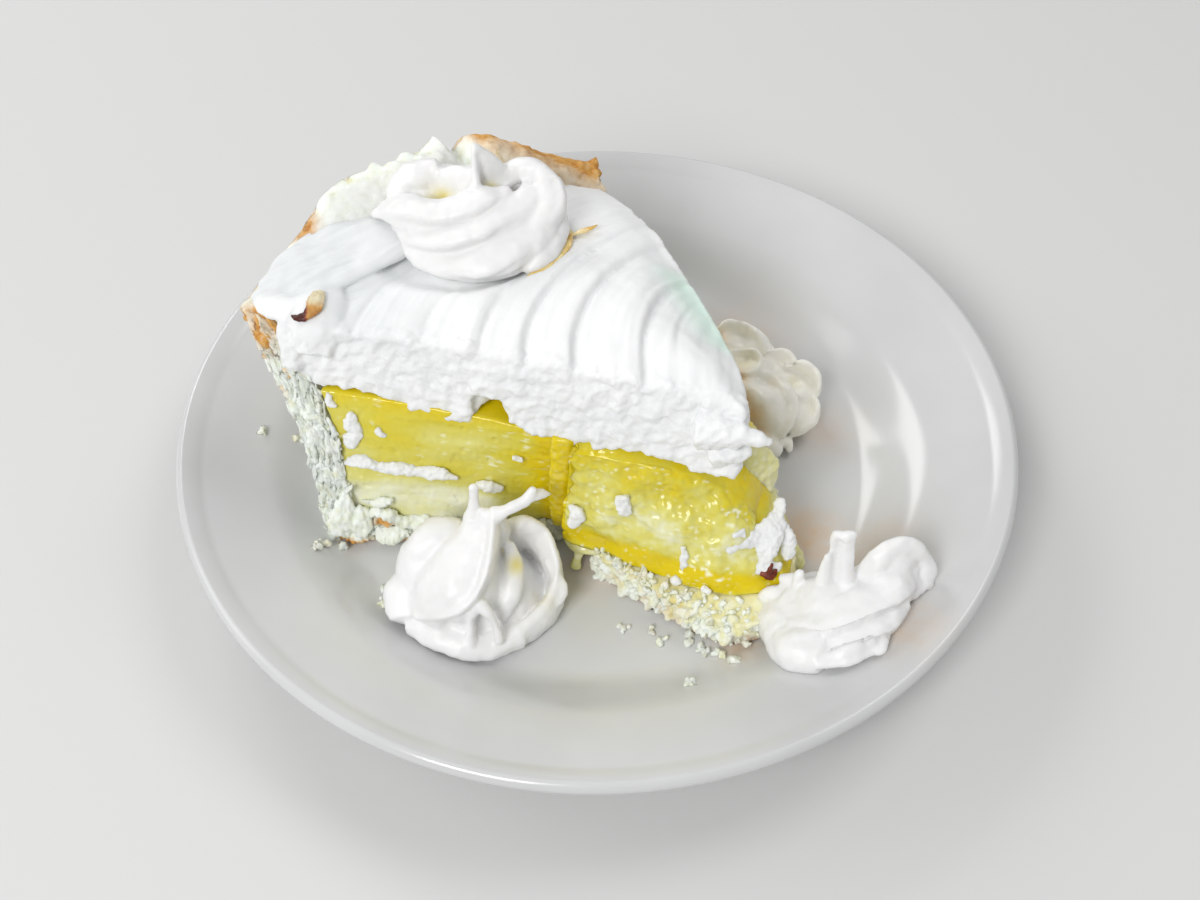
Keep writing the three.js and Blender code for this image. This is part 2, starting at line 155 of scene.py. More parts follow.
def skin(name, points, faces, material, marks=None):
    """A smooth mesh piece from points in mm, riding on the one body, with marks as attributes."""
    mesh = bpy.data.meshes.new(name)
    count, corners = faces.shape
    mesh.vertices.add(len(points))
    mesh.vertices.foreach_set("co", (points * MM).ravel())
    mesh.loops.add(count * corners)
    mesh.loops.foreach_set("vertex_index", faces.ravel())
    mesh.polygons.add(count)
    mesh.polygons.foreach_set("loop_start", np.arange(0, count * corners, corners))
    mesh.polygons.foreach_set("use_smooth", np.ones(count, bool))
    mesh.update(calc_edges=True)
    mesh.validate()
    for mark, values in (marks or {}).items():
        data = mesh.attributes.new(mark, "FLOAT", "POINT").data
        values = np.clip(values, 0, 1) * np.ones(len(points))
        data.foreach_set("value", values.astype(np.float32))
    mesh.materials.append(material)
    piece = bpy.data.objects.new(name, mesh)
    bpy.context.collection.objects.link(piece)
    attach(piece, "root")
    return piece


def spots(points, places):
    """Strength at each point of round soft spots (x, y, spread, strength)."""
    total = np.zeros(len(points))
    for x, y, spread, strength in places:
        away = (points[:, 0] - x) ** 2 + (points[:, 1] - y) ** 2
        total = np.maximum(total, strength * np.exp(-away / spread**2))
    return total


def plate_profile():
    """Outline (r, z) from the middle of the underside over the foot ring and the lip to the well."""
    lip_radius = PLATE_RADIUS - LIP_ROUND
    foot_inside = FOOT_RADIUS - FOOT_WIDTH
    below = [(0, FOOT_HEIGHT), (foot_inside - 8, FOOT_HEIGHT), (foot_inside - 0.4, FOOT_HEIGHT)]
    below += [(foot_inside + 0.3, FOOT_HEIGHT - 0.5), (foot_inside + 1.1, 0.12), (foot_inside + 1.5, 0)]
    below += [(FOOT_RADIUS - 0.4, 0), (FOOT_RADIUS, 0.3)]
    radius = np.linspace(WELL_RADIUS + 1.5, SHOULDER_RADIUS, 12)
    wall = np.stack([radius + 1, plate_top(radius) - PLATE_THICKNESS], 1)
    radius = np.linspace(SHOULDER_RADIUS + 2.2, lip_radius - 0.4, 8)
    start = plate_top(SHOULDER_RADIUS) - PLATE_THICKNESS
    rise = (radius - SHOULDER_RADIUS - 1) / (lip_radius - SHOULDER_RADIUS - 1)
    under = np.stack([radius, mix(start, LIP_HEIGHT - 2 * LIP_ROUND, rise)], 1)
    turn = np.linspace(-np.pi / 2, np.pi / 2, 17)
    lip = np.stack([np.cos(turn), np.sin(turn)], 1) * LIP_ROUND + (lip_radius, LIP_HEIGHT - LIP_ROUND)
    radius = np.linspace(lip_radius - 3, 2, 66)
    top = np.stack([radius, plate_top(radius)], 1)
    return np.concatenate([below, wall, under, lip, top, [(0, WELL_FLOOR)]])


points, faces = turned(plate_profile(), turns=216)
around = np.hypot(points[:, 0], points[:, 1])
bare = (points[:, 2] < 0.25) & (around > FOOT_RADIUS - FOOT_WIDTH)
above = points[:, 2] > plate_top(around) - 1

# Clear glossy glaze: IOR 1.52, roughness 0.16, a faint warm mottle some 25 mm across. Syrup tints it
# amber in streaks 4 mm across; the bare foot ring is matt, roughness 0.85.
stoneware, tree, where, stain, foot = surface("Glazed stoneware, warm white", "stain", "bare")
mottle = add(tree, "TexNoise", {"Scale": 40.0, "Detail": 3.0}, {"Vector": where})
glaze = add(tree, "ValToRGB", links={"Fac": mottle}, stops=((0.3, "#c9caca"), (0.7, "#cfd0d0")))
streaks = add(tree, "TexNoise", {"Scale": 260.0, "Detail": 4.0}, {"Vector": where})
syrup = add(tree, "Math", {"operation": "MULTIPLY"}, {0: stain, 1: streaks})
amber = add(tree, "Mix", {"data_type": "RGBA", 7: linear("#d9a860")}, {0: syrup, 6: glaze}, out=2)
body = add(tree, "Mix", {"data_type": "RGBA", 7: linear("#c9bda8")}, {0: foot, 6: amber}, out=2)
rough = add(tree, "MapRange", {"To Min": 0.16, "To Max": 0.85}, {"Value": foot})
shade(tree, {"IOR": 1.52}, {"Base Color": body, "Roughness": rough})

plate = skin("stoneware_plate", points, faces, stoneware,
             {"stain": spots(points, SYRUP_STAINS) * above, "bare": bare})
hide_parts("plate")

# ---- Crust ---------------------------------------------------------------------------------------
# Blind-baked shortcrust: a pale base 7.5 mm thick and a wall that flares into a thick hand-pressed
# rim. The cuts show crumbly upright flakes; the rim is floury, with golden and brown spots.

BROKEN_END_FRONT = np.array((-8.6, -25.2))
BROKEN_END_BACK = np.array((15.4, -1.0))
BASE_FRONT = np.array((-58.7, -24.0))
BASE_BACK = np.array((1.5, 26.8))
BASE_BULGE = 14
RIM_FRONT = np.array((-72.2, -3.2))
RIM_BACK = np.array((-1.2, 42.3))
RIM_BULGE = 13
GAP = 0.35
CRUST_BOTTOM = WELL_FLOOR + GAP
BASE_CRUST = 7.5
WALL_CRUST = 5.2
RIM_CRUST = 9.0
RIM_ROLL = 2.0
RIM_END_HEIGHT = 55.0
RIM_CREST = 11.0
WALL_FLARE = 3.1
CUT_LEAN = 10
BASE_SHARE = 0.42
UP = (0, 0, 1)
FRONT = (0, -0.75, 0.65)
# Toasted places on the rim: x, y, spread and strength
TOASTED = (
    (-54.5, 30, 3.2, 1.0),
    (-60, 14.5, 3.4, 1.0),
    (-58.5, 12.5, 1.6, 1.4),
    (-68, 0, 3.0, 0.5),
    (-66.5, -5, 3.6, 1.3),
    (-65.5, -8, 4.6, 0.95),
    (-62, -13, 3.0, 0.9),
    (-70, -4, 3.0, 0.6),
    (-24, 43, 7, 0.75),
    (-14, 44, 7, 0.85),
    (-4, 43.5, 6, 0.8),
    (-7, 41.5, 3.2, 1.3),
    (-1, 41, 4, 1.1),
)


def lumps(points, size, seed=0, stretch=(1, 1, 1)):
    """Gradient noise, about -1 to 1: slopes at corners size mm apart, blended by 6 t^5 - 15 t^4 + 10 t^3."""
    draw = np.random.default_rng(41 + seed)
    order = draw.permutation(256)
    slopes = draw.normal(size=(256, 3))
    slopes /= np.linalg.norm(slopes, axis=1, keepdims=True)
    cell = points / (size * np.array(stretch)) + 0.37
    corner = np.floor(cell).astype(int)
    t = cell - corner
    ease = t**3 * (t * (6 * t - 15) + 10)
    total = np.zeros(len(points))
    for offset in np.ndindex(2, 2, 2):
        x, y, z = (corner + offset).T & 255
        slope = slopes[order[(order[(order[x] + y) & 255] + z) & 255]]
        weight = np.prod(np.where(offset, ease, 1 - ease), axis=1)
        total += weight * np.sum(slope * (t - offset), axis=1)
    return 1.5 * total


def block(cells, place):
    """Closed quads round a lattice of cells; place(u, v, w) maps the lattice (0 to 1) to points."""
    counts = [n + 1 for n in cells]
    index = np.arange(np.prod(counts)).reshape(counts)
    sides = []
    for axis in range(3):
        for end in (0, -1):
            side = np.take(index, end, axis)
            quads = np.stack([side[:-1, :-1], side[1:, :-1], side[1:, 1:], side[:-1, 1:]], -1)
            sides.append(quads.reshape(-1, 4)[:, ::-1 if (end == 0) != (axis == 1) else 1])
    used, faces = np.unique(np.concatenate(sides), return_inverse=True)
    faces = faces.reshape(-1, 4)
    u, v, w = (np.stack(np.unravel_index(used, counts)) / np.array(cells)[:, None])
    points = place(u, v, w)
    return points, outward(points, faces), (u, v, w)


def directions(points, faces):
    """Outward unit direction at each point."""
    corners = [points[faces[:, i]] for i in range(faces.shape[1])]
    across = np.cross(corners[2] - corners[0], corners[-1] - corners[1])
    repeated = np.repeat(across, faces.shape[1], 0)
    total = np.stack([np.bincount(faces.ravel(), repeated[:, k], len(points)) for k in range(3)], 1)
    return total / np.maximum(np.linalg.norm(total, axis=1, keepdims=True), 1e-12)


def pushed(points, faces, amount):
    """Each point moved outwards by its amount in mm."""
    return points + directions(points, faces) * amount[:, None]


def relaxed(points, faces, rounds):
    """Each point moved half way to the mean of its neighbours, again and again."""
    pairs = np.concatenate([np.stack([faces[:, k], faces[:, k - 1]], 1) for k in range(faces.shape[1])])
    pairs = np.concatenate([pairs, pairs[:, ::-1]])
    count = np.bincount(pairs[:, 0], minlength=len(points))[:, None]
    for _ in range(rounds):
        near = np.stack([np.bincount(pairs[:, 0], points[pairs[:, 1], k], len(points)) for k in range(3)], 1)
        points = 0.5 * points + 0.5 * near / count
    return points


def bow(a, b, t, bulge):
    """Plan points a + (b - a) t + 4 bulge t (1 - t) side, bulging to the left of the way."""
    chord = b - a
    side = np.stack([-chord[..., 1], chord[..., 0]], -1)
    side = side / np.linalg.norm(side, axis=-1, keepdims=True)
    return a + chord * t[:, None] + side * (4 * bulge * t * (1 - t))[:, None]


def rim_height(u):
    """Height of the rim: end + crest arch(u) - 4.2 exp(-((u - 0.665) / 0.022)^2), a notch behind."""
    arch = smoothstep(u, 0, 0.42) * (1 - 0.9 * smoothstep(u, 0.72, 1))
    notch = 4.2 * np.exp(-(((u - 0.665) / 0.022) ** 2))
    return RIM_END_HEIGHT + RIM_CREST * arch - notch


def wall_plan(u, share):
    """Outer face of the wall in plan: base bow to crimped rim bow by share^flare, leaning at the cut."""
    flare = share**WALL_FLARE
    base = bow(BASE_FRONT, BASE_BACK, u, BASE_BULGE)
    crimp = 1.3 * np.cos(6 * np.pi * u) * share**4
    rim = bow(RIM_FRONT, RIM_BACK, u, RIM_BULGE + crimp)
    plan = mix(base, rim, flare[:, None])
    plan[:, 1] += CUT_LEAN * (share - flare) * (1 - u) ** 2
    return plan


def inset_plan(u, share, part, gap):
    """The same face moved towards the broken end by part of the crust's thickness and a gap."""
    outer = wall_plan(u, share)
    inner = mix(BROKEN_END_FRONT, BROKEN_END_BACK, u[:, None])
    way = (inner - outer) / np.linalg.norm(inner - outer, axis=1, keepdims=True)
    return outer + way * (mix(WALL_CRUST, RIM_CRUST, share**3) * part + gap)[:, None]


def above_plate(points, gap):
    """The points, none of them less than the gap above the plate."""
    around = np.hypot(points[:, 0], points[:, 1])
    points[:, 2] = np.maximum(points[:, 2], plate_top(around) + gap)
    return points


def crust_place(u, v, w):
    """u along the rim, v from the broken end down the base and up the wall, w through the crust."""
    share = np.maximum(0, (v - BASE_SHARE) / (1 - BASE_SHARE))
    wall = inset_plan(u, share, w, 0)
    end = mix(BROKEN_END_FRONT, BROKEN_END_BACK, u[:, None])
    under = mix(end, wall, (np.minimum(v, BASE_SHARE) / BASE_SHARE)[:, None])
    plan = np.where((v < BASE_SHARE)[:, None], under, wall)
    floor = CRUST_BOTTOM + BASE_CRUST * w
    rim = rim_height(u) + 1.5 * np.sin(np.pi * w) - RIM_ROLL * w
    leaf = 2.2 * np.exp(-(((u - 0.632) / 0.018) ** 2)) * (1 - w) * (v > 0.98)
    return np.column_stack([plan, mix(floor, rim, share) + leaf])


points, faces, (u, v, w) = block((150, 220, 24), crust_place)
share = np.maximum(0, (v - BASE_SHARE) / (1 - BASE_SHARE))
cut = ((u == 0) | (u == 1) | (v == 0)).astype(float)
near_cut = np.exp(-np.minimum(u, np.minimum(1 - u, v)) / 0.01)
# flaky layers on the cuts, baked crags elsewhere, blisters on the rim and one hollow in the front cut
layer = np.floor(5 * w + 0.8 * lumps(points, 6, 1) + 0.5)
flakes = lumps(np.column_stack([37.1 * layer, 3.7 * layer, v * 60 + layer]), 1.7, 2, (1, 1, 1.4))
flakes += 0.9 * lumps(points, 1.25, 3) + 0.5 * np.abs(lumps(points, 0.8, 9))
baked = 0.55 * lumps(points, 6, 4) + 0.3 * lumps(points, 2.2, 5) + 0.16 * lumps(points, 1.1, 6)
rim_side = smoothstep(share, 0.72, 0.95)
relief = mix(baked * (0.35 + 0.9 * rim_side), 1.15 * flakes + 1.2 * lumps(points, 4.3, 7), cut)
blisters = np.maximum(0, lumps(points, 3.4, 8) - 0.35) * 2.4 * rim_side
cavity = (u == 0) * np.exp(-(((v - 0.315) / 0.022) ** 2) - ((w - 0.55) / 0.2) ** 2)
blisters -= 2.4 * cavity
points = above_plate(pushed(points, faces, relief + blisters), GAP)
# browned: spots and the back end of the rim, its edge at the cut, the hollow, the underside, the outside
toast = spots(points, TOASTED) * smoothstep(share, 0.62, 0.9)
toast += 0.5 * smoothstep(share, 0.6, 1) * smoothstep(u, 0.68, 0.74)
toast += (0.3 + 0.9 * lumps(points, 2.4, 10)) * near_cut * (u < 0.5) * smoothstep(share, 0.66, 0.85)
toast += 0.8 * cavity + 1.0 * cut * np.exp(-(((v - 0.385) / 0.025) ** 2)) * (w < 0.17)
toast += 0.75 * smoothstep(0.5 - w, 0, 0.5) * (share <= 0) * (v > 0.05)
toast += 0.3 * (w < 0.02) * (1 - cut) * smoothstep(share, 0.0, 0.6)
flour = smoothstep(u, 0.01, 0.07) * smoothstep(share, 0.8, 0.97) * (1 - smoothstep(u, 0.64, 0.7))
flour *= smoothstep(w, 0.1, 0.5)

# Baked shortcrust: dry and matt, roughness 0.85, light scatters 2 mm deep; crumb 2.4 mm, patches 8 mm,
# golden to brown where it is toasted, yellow where custard has soaked in, white where it is floury.
pastry, tree, where, toasted, lemony, floury = surface(
    "Shortcrust pastry, baked pale", "toast", "soaked", "flour")
crumb = add(tree, "TexNoise", {"Scale": 420.0, "Detail": 6.0, "Roughness": 0.65}, {"Vector": where})
patch = add(tree, "TexNoise", {"Scale": 120.0, "Detail": 3.0}, {"Vector": where})
dough = add(tree, "ValToRGB", links={"Fac": crumb},
            stops=((0.28, "#dcd6a0"), (0.4, "#e9eedd"), (0.6, "#f3f8f3")))
broken = add(tree, "Math", {"operation": "MULTIPLY_ADD", 1: 0.9}, {0: patch, 2: toasted})
browned = add(tree, "ValToRGB", links={"Fac": crumb},
              stops=((0.34, "#ae6a22"), (0.5, "#d09a4c"), (0.64, "#dcb478")))
amount = add(tree, "MapRange", {"From Min": 0.55, "From Max": 1.35}, {"Value": broken})
golden = add(tree, "Mix", {"data_type": "RGBA"}, {0: amount, 6: dough, 7: browned}, out=2)
soaked = add(tree, "Mix", {"data_type": "RGBA", 7: linear("#e6d978")}, {0: lemony, 6: golden}, out=2)
dusted = add(tree, "Math", {"operation": "MULTIPLY", "use_clamp": True}, {0: floury, 1: patch})
powder = add(tree, "Mix", {"data_type": "RGBA", 7: linear("#d9d8d6")}, {0: dusted, 6: soaked}, out=2)
grain = add(tree, "Bump", {"Strength": 0.5, "Distance": 0.0006}, {"Height": crumb})
shade(tree, {"Roughness": 0.85, "Subsurface Weight": 0.3, "Subsurface Scale": 0.002,
             "Subsurface Radius": (1.0, 0.95, 0.85)}, {"Base Color": powder, "Normal": grain})

crust = skin("shortcrust_shell", points, faces, pastry, {"toast": toast, "flour": flour})
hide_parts("crust")

# ---- Crumbs on the cut ---------------------------------------------------------------------------
# Upright flakes of the wall and coarse crumbs of the base, broken loose by the knife and still hanging
# on the front cut of the crust.

draw = np.random.default_rng(5)


def crumbs(places, axes, seed):
    """One mesh of many closed crumbs: at each place a rounded cube on three axes, dented by noise."""
    ball, quads, _ = block((4, 4, 4), lambda u, v, w: np.column_stack([u, v, w]) * 2 - 1)
    ball = ball / (0.25 + 0.75 * np.linalg.norm(ball, axis=1, keepdims=True))
    offsets = np.einsum("nij,mi->nmj", axes, ball)
    sites = (places[:, None] + offsets).reshape(-1, 3)
    dents = (lumps(sites, 1.1, seed) + 0.5 * lumps(sites, 0.5, seed)).reshape(len(places), -1, 1)
    points = places[:, None] + offsets * (1 + 0.9 * np.clip(dents, -0.8, 0.8))
    faces = quads[None] + (np.arange(len(places)) * len(ball))[:, None, None]
    return points.reshape(-1, 3), faces.reshape(-1, 4)


def grains(count, low, high, along=None):
    """Axes of random crumbs, low to high mm in half size; along a direction they are thin flakes."""
    frames = np.linalg.qr(draw.normal(size=(count, 3, 3)))[0]
    size = draw.uniform(low, high, (count, 1)) * draw.uniform(0.5, 1.0, (count, 3))
    if along is not None:
        along = along / np.linalg.norm(along, axis=1, keepdims=True) + draw.normal(0, 0.16, (count, 3))
        frames = np.linalg.qr(np.stack([along, frames[:, 1], frames[:, 2]], 2))[0].transpose(0, 2, 1)
        size = size * (2.6, 0.75, 0.5)
    frames = frames * np.sign(np.linalg.det(frames))[:, None, None]
    return frames * size[:, :, None]


flaking = 400
along = draw.uniform(BASE_SHARE - 0.03, 0.97, flaking)
through = draw.uniform(-0.04, 1.16, flaking)
upright = crust_place(0 * along, along + 0.01, through) - crust_place(0 * along, along, through)
places = crust_place(0 * along, along, through) + draw.normal(0, 0.2, (flaking, 3)) + (0, -0.15, 0)
axes = grains(flaking, 0.5, 1.35, upright)
coarse = 260
along = draw.uniform(0.02, BASE_SHARE + 0.05, coarse)
lumpy = crust_place(0 * along, along, draw.uniform(0.05, 1.0, coarse))
lumpy = lumpy + draw.normal(0, 0.3, (coarse, 3)) + (0, -0.2, 0)
places = np.concatenate([places, lumpy])
axes = np.concatenate([axes, grains(coarse, 0.4, 1.7)])
# none of them over the hollow at the foot of the wall
hollow = (np.abs(places[:, 0] + 48) < 7.5) & (places[:, 2] < 19)
points, faces = crumbs(places[~hollow], axes[~hollow], 6)
points[:, 2] = np.maximum(points[:, 2], WELL_FLOOR + 0.05)
toast = 0.15 * lumps(points, 3, 7) + 0.5 * smoothstep(points[:, 2], 44, 54)
skin("crumbs_on_cut", points, faces, pastry, {"toast": toast})

# ---- Pastry curls --------------------------------------------------------------------------------
# Torn flakes and curls of the pale pastry at the foot of the wall, pulled off the base by the knife,
# round a toasted hollow.


def spline(rows, t):
    """Catmull-Rom curve through rows of values, at t from 0 (first) to 1 (last)."""
    rows = np.asarray(rows, float)
    at = np.clip(t, 0, 1) * (len(rows) - 1)
    i = np.minimum(at.astype(int), len(rows) - 2)
    f = (at - i)[:, None]
    a, b, c, d = (rows[np.clip(i + k, 0, len(rows) - 1)] for k in (-1, 0, 1, 2))
    return b + 0.5 * f * (c - a + f * (2 * a - 5 * b + 4 * c - d + f * (3 * (b - c) + d - a)))


def sideways(line, facing):
    """Unit directions along a line of points, and across it at right angles to `facing`."""
    tangent = np.gradient(line, axis=0)
    tangent /= np.linalg.norm(tangent, axis=1, keepdims=True)
    side = np.cross(np.broadcast_to(facing, tangent.shape), tangent)
    return tangent, side / np.linalg.norm(side, axis=1, keepdims=True)


def strand(facing, *rows, steps=60, turns=40, square=1.0):
    """A closed strand along rows (x, y, z, half width, half thickness), flat towards `facing`.

    Its section is (wide |cos a|^square, thick |sin a|^square) with the signs of cos a and sin a.
    """
    curve = spline(rows, np.linspace(0, 1, steps))
    middle = curve[:, :3]
    wide, thick = np.maximum(0.05, curve[:, 3:].T)
    tangent, side = sideways(middle, facing)
    up = np.cross(tangent, side)
    a = np.linspace(0, 2 * np.pi, turns, endpoint=False)[None, :, None]
    across = np.sign(np.cos(a)) * np.abs(np.cos(a)) ** square * wide[:, None, None]
    above = np.sign(np.sin(a)) * np.abs(np.sin(a)) ** square * thick[:, None, None]
    rings = middle[:, None] + (side[:, None] * across + up[:, None] * above)
    return capped(rings, middle[0] - tangent[0] * thick[0] * 0.5, middle[-1] + tangent[-1] * thick[-1] * 0.5)


def fused(name, parts, voxel, rounds):
    """One closed surface round overlapping closed parts: remeshed in cubes of `voxel` mm and relaxed."""
    shift = np.cumsum([0] + [len(p) for p, _ in parts[:-1]])
    points = np.concatenate([p for p, _ in parts])
    faces = [np.concatenate([f[:, [0, k, k + 1]] for k in range(1, f.shape[1] - 1)]) for _, f in parts]
    faces = np.concatenate([f + start for f, start in zip(faces, shift)])
    mesh = bpy.data.meshes.new(name + "_parts")
    mesh.from_pydata(points.tolist(), [], faces.tolist())
    rough = bpy.data.objects.new(name + "_parts", mesh)
    bpy.context.collection.objects.link(rough)
    remesh = rough.modifiers.new("remesh", "REMESH")
    remesh.mode = "VOXEL"
    remesh.voxel_size = voxel
    relax = rough.modifiers.new("relax", "SMOOTH")
    relax.factor = 0.5
    relax.iterations = rounds
    made = rough.evaluated_get(bpy.context.evaluated_depsgraph_get()).to_mesh()
    made.calc_loop_triangles()
    points = np.empty(len(made.vertices) * 3)
    made.vertices.foreach_get("co", points)
    faces = np.empty(len(made.loop_triangles) * 3, int)
    made.loop_triangles.foreach_get("vertices", faces)
    bpy.data.objects.remove(rough)
    bpy.data.meshes.remove(mesh)
    return points.reshape(-1, 3), faces.reshape(-1, 3)


curls = [
    strand(FRONT, (-54.6, -24.4, 8.6, 2.6, 1.4), (-54.6, -24.6, 13.5, 3.2, 1.6), (-53, -23.6, 21, 1.2, 0.9)),
    strand(FRONT, (-52, -25, 9.4, 2.0, 1.4), (-50.6, -25, 13, 2.2, 1.6), (-50.4, -24.2, 17, 1.2, 0.9)),
    strand(FRONT, (-48.4, -24.6, 15.4, 0.8, 0.7), (-46.2, -25.2, 16.4, 1.1, 0.9),
           (-43.8, -25.2, 15.2, 1.3, 1.0), (-42.4, -25.2, 12.6, 1.4, 1.0), (-42.8, -25.2, 10, 0.9, 0.8)),
    strand(FRONT, (-50, -23.8, 18.8, 0.6, 0.5), (-46.6, -24, 18.4, 0.8, 0.5), (-43.2, -24, 19.4, 0.3, 0.3)),
    strand(FRONT, (-48, -25.2, 9.6, 1.6, 1.2), (-44.4, -25.4, 9.4, 2.2, 1.4), (-40.6, -25.4, 9.6, 1.4, 1.1)),
    strand(FRONT, (-41.4, -25, 13.4, 1.2, 0.9), (-38, -25, 13, 1.8, 1.1), (-34.6, -24.8, 12.4, 1.0, 0.8)),
    strand(FRONT, (-47.6, -24.2, 13, 1.4, 0.7), (-45.6, -24.4, 12.8, 1.6, 0.8),
           (-44, -24.4, 12.4, 1.2, 0.7)),
    strand(FRONT, (-54.8, -24.6, 7.2, 0.6, 0.6), (-52, -25.2, 7.8, 1.3, 1.3), (-48.6, -25, 7.4, 0.6, 0.6)),
]
points, faces = fused("pastry_curls", curls, voxel=0.28, rounds=1)
torn = 0.8 * lumps(points, 2.2, 60, (1, 1, 1.6)) + 0.5 * lumps(points, 1.0, 61, (0.8, 1, 2))
points = above_plate(pushed(points, faces, torn), 0.05)
toast = 1.3 * np.exp(-(((points[:, 0] + 45.8) / 2) ** 2) - ((points[:, 2] - 13) / 1.3) ** 2)
toast += 1.1 * (1 - smoothstep(points[:, 2], 7, 9)) * (1 - smoothstep(points[:, 0], -50.5, -48))
skin("pastry_curls", points, faces, pastry, {"toast": toast})

# ---- Lemon filling -------------------------------------------------------------------------------
# Set lemon custard, glossy and a little see-through, cut clean down the front: golden under the
# meringue, paler towards the crust, with fine drag marks of the knife.

FILLING_HEIGHT = 41.5


def filling_top(x, y):
    """Height of the custard: level - 0.04 x + two slow waves along x and y."""
    return FILLING_HEIGHT - 0.04 * x + 0.5 * np.sin(x / 7.5) + 0.35 * np.sin(y / 6 + 1)


def against_crust(u, height):
    """Inner face of the crust in plan at a height."""
    floor = CRUST_BOTTOM + BASE_CRUST
    share = np.clip((height - floor) / (rim_height(u) - RIM_ROLL - floor), 0, 1)
    return inset_plan(u, share, 1 + 0 * u, 2 * GAP)


def filling_place(u, v, w):
    """u from the front to the back cut, v from the broken end to the crust, w upwards."""
    across = mix(0.006, 0.98, u)
    inner = mix(BROKEN_END_FRONT, BROKEN_END_BACK, across[:, None])
    floor = CRUST_BOTTOM + BASE_CRUST
    plan = mix(inner, against_crust(across, mix(floor, FILLING_HEIGHT, w)), v[:, None])
    height = mix(floor + 0.3, filling_top(plan[:, 0], plan[:, 1]), w)
    return np.column_stack([plan, height])


def curd_relief(points, cut):
    """Drag marks, soft dents and small pits of a knife-cut gel, in mm outwards."""
    drag = 0.13 * lumps(points, 1.5, 11, (5, 5, 1)) + 0.4 * lumps(points, 5, 12, (2, 2, 1))
    drag += 0.12 * lumps(points, 1.1, 19)
    pits = np.maximum(0, lumps(points, 1.6, 13) - 0.45) * -1.1
    return cut * (drag + pits) + (1 - cut) * 0.2 * lumps(points, 7, 14)


points, faces, (u, v, w) = block((60, 170, 74), filling_place)
cut = ((u == 0) | (v == 0)).astype(float)
points = pushed(points, faces, curd_relief(points, cut))
flecks = lumps(points, 0.9, 15, (3.2, 3.2, 1)) * (0.6 + 0.8 * lumps(points, 9, 16))
flecks = np.maximum(0, flecks - 0.28) * 3

# Lemon custard gel: IOR 1.38, roughness 0.2 under a wet film, light scatters 3 mm deep; clouds 8 mm,
# dimples 2 mm, pale flecks some 3 mm long.
curd, tree, where, depth, white = surface("Lemon custard, set and glossy", "depth", "fleck")
cloud = add(tree, "TexNoise", {"Scale": 130.0, "Detail": 4.0}, {"Vector": where})
banded = add(tree, "Math", {"operation": "MULTIPLY_ADD", 1: 0.34}, {0: cloud, 2: depth})
yellow = add(tree, "ValToRGB", links={"Fac": banded},
             stops=((0.12, "#f2f3da"), (0.36, "#e0db82"), (0.62, "#d8cb42"), (0.86, "#e0c808")))
streaked = add(tree, "Mix", {"data_type": "RGBA", 7: linear("#f1f0cf")}, {0: white, 6: yellow}, out=2)
ripple = add(tree, "TexNoise", {"Scale": 500.0, "Detail": 3.0}, {"Vector": where})
dimples = add(tree, "Bump", {"Strength": 0.25, "Distance": 0.0004}, {"Height": ripple})
shade(tree, {"Roughness": 0.2, "IOR": 1.38, "Subsurface Weight": 0.35, "Subsurface Scale": 0.003,
             "Subsurface Radius": (0.95, 0.95, 0.3), "Coat Weight": 0.35, "Coat Roughness": 0.12},
      {"Base Color": streaked, "Normal": dimples})

# deeper yellow upwards and at the broken end
level = np.interp(w, (0, 0.18, 0.4, 0.65, 0.88, 1), (0.0, 0.04, 0.26, 0.38, 0.42, 0.66))
level += 0.2 * lumps(points, 7, 17, (2, 2, 1)) + 0.08 * lumps(points, 2.2, 18, (3, 3, 1))
level += 0.4 * np.exp(-(((v - 0.02) / 0.06) ** 2)) + 0.5 * (1 - w) * np.exp(-((v / 0.22) ** 2))
filling = skin("lemon_custard", points, faces, curd, {"depth": level, "fleck": flecks * cut})
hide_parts("lemon_filling")

# ---- Meringue ------------------------------------------------------------------------------------
# Soft unbrowned meringue some 18 mm thick: spread with a spatula on top, spongy and torn along the
# front cut, and smeared over the rim at the left.

MERINGUE_TOP = 59.5
TIP_FRONT = np.array((27, -34.6))
TIP_BACK = np.array((29.0, -31.0))
CORNER_FRONT = np.array((-60.3, -12.8))
# Spatula marks: where they reach the front cut, depth, width of the steep and of the gentle side
SPATULA_MARKS = (
    (-48, 1.2, 2.0, 5.0),
    (-34, 1.2, 2.0, 7.0),
    (-22, 1.8, 1.2, 6.0),
    (-13.6, 2.6, 0.8, 5.0),
    (-4, 2.6, 0.7, 5.0),
    (9.2, 2.6, 0.5, 4.5),
    (15.5, 0.7, 1.2, 2.4),
)
GROOVE_SWEEP = 0.016
GROOVE_START = -20
BACK_BOW = 5.6
BACK_LENGTH = 78
BACK_WAY = np.array((-0.378, 0.926))
# The flat seat of the top whirl
TOP_WHIRL = np.array((-28.0, 18.0))
SEAT_HEIGHT = 58.2
SEAT_RADIUS = 19
SEAT_FADE = 24
# Height of the torn lower edge along the front cut, from the tip (0) to the rim (1)
TORN_EDGE = (
    (0, 38.2), (0.05, 38.4), (0.11, 39), (0.18, 41), (0.25, 41.2), (0.34, 39.2), (0.42, 40.7), (0.47, 41.3),
    (0.511, 43.3), (0.53, 45.6), (0.59, 45.2), (0.605, 40.8), (0.64, 40.4), (0.69, 40.8), (0.75, 41.9),
    (0.81, 44), (0.87, 44.4), (1, 44))


def spatula_marks(x, y):
    """Depth of the grooves, each with a steep and a gentle Gaussian side, and x - sweep (y - start)^2."""
    back = np.maximum(0, y - GROOVE_START)
    bend = x - GROOVE_SWEEP * back * back
    depth = 0 * x
    for place, deep, steep, gentle in SPATULA_MARKS:
        aside = bend - place
        width = np.where(aside < 0, steep, gentle)
        depth = depth + 0.5 * deep * np.exp(-((aside / width) ** 2))
        depth = depth + 0.3 * deep * np.exp(-((aside / 0.5) ** 2))
    return depth, bend


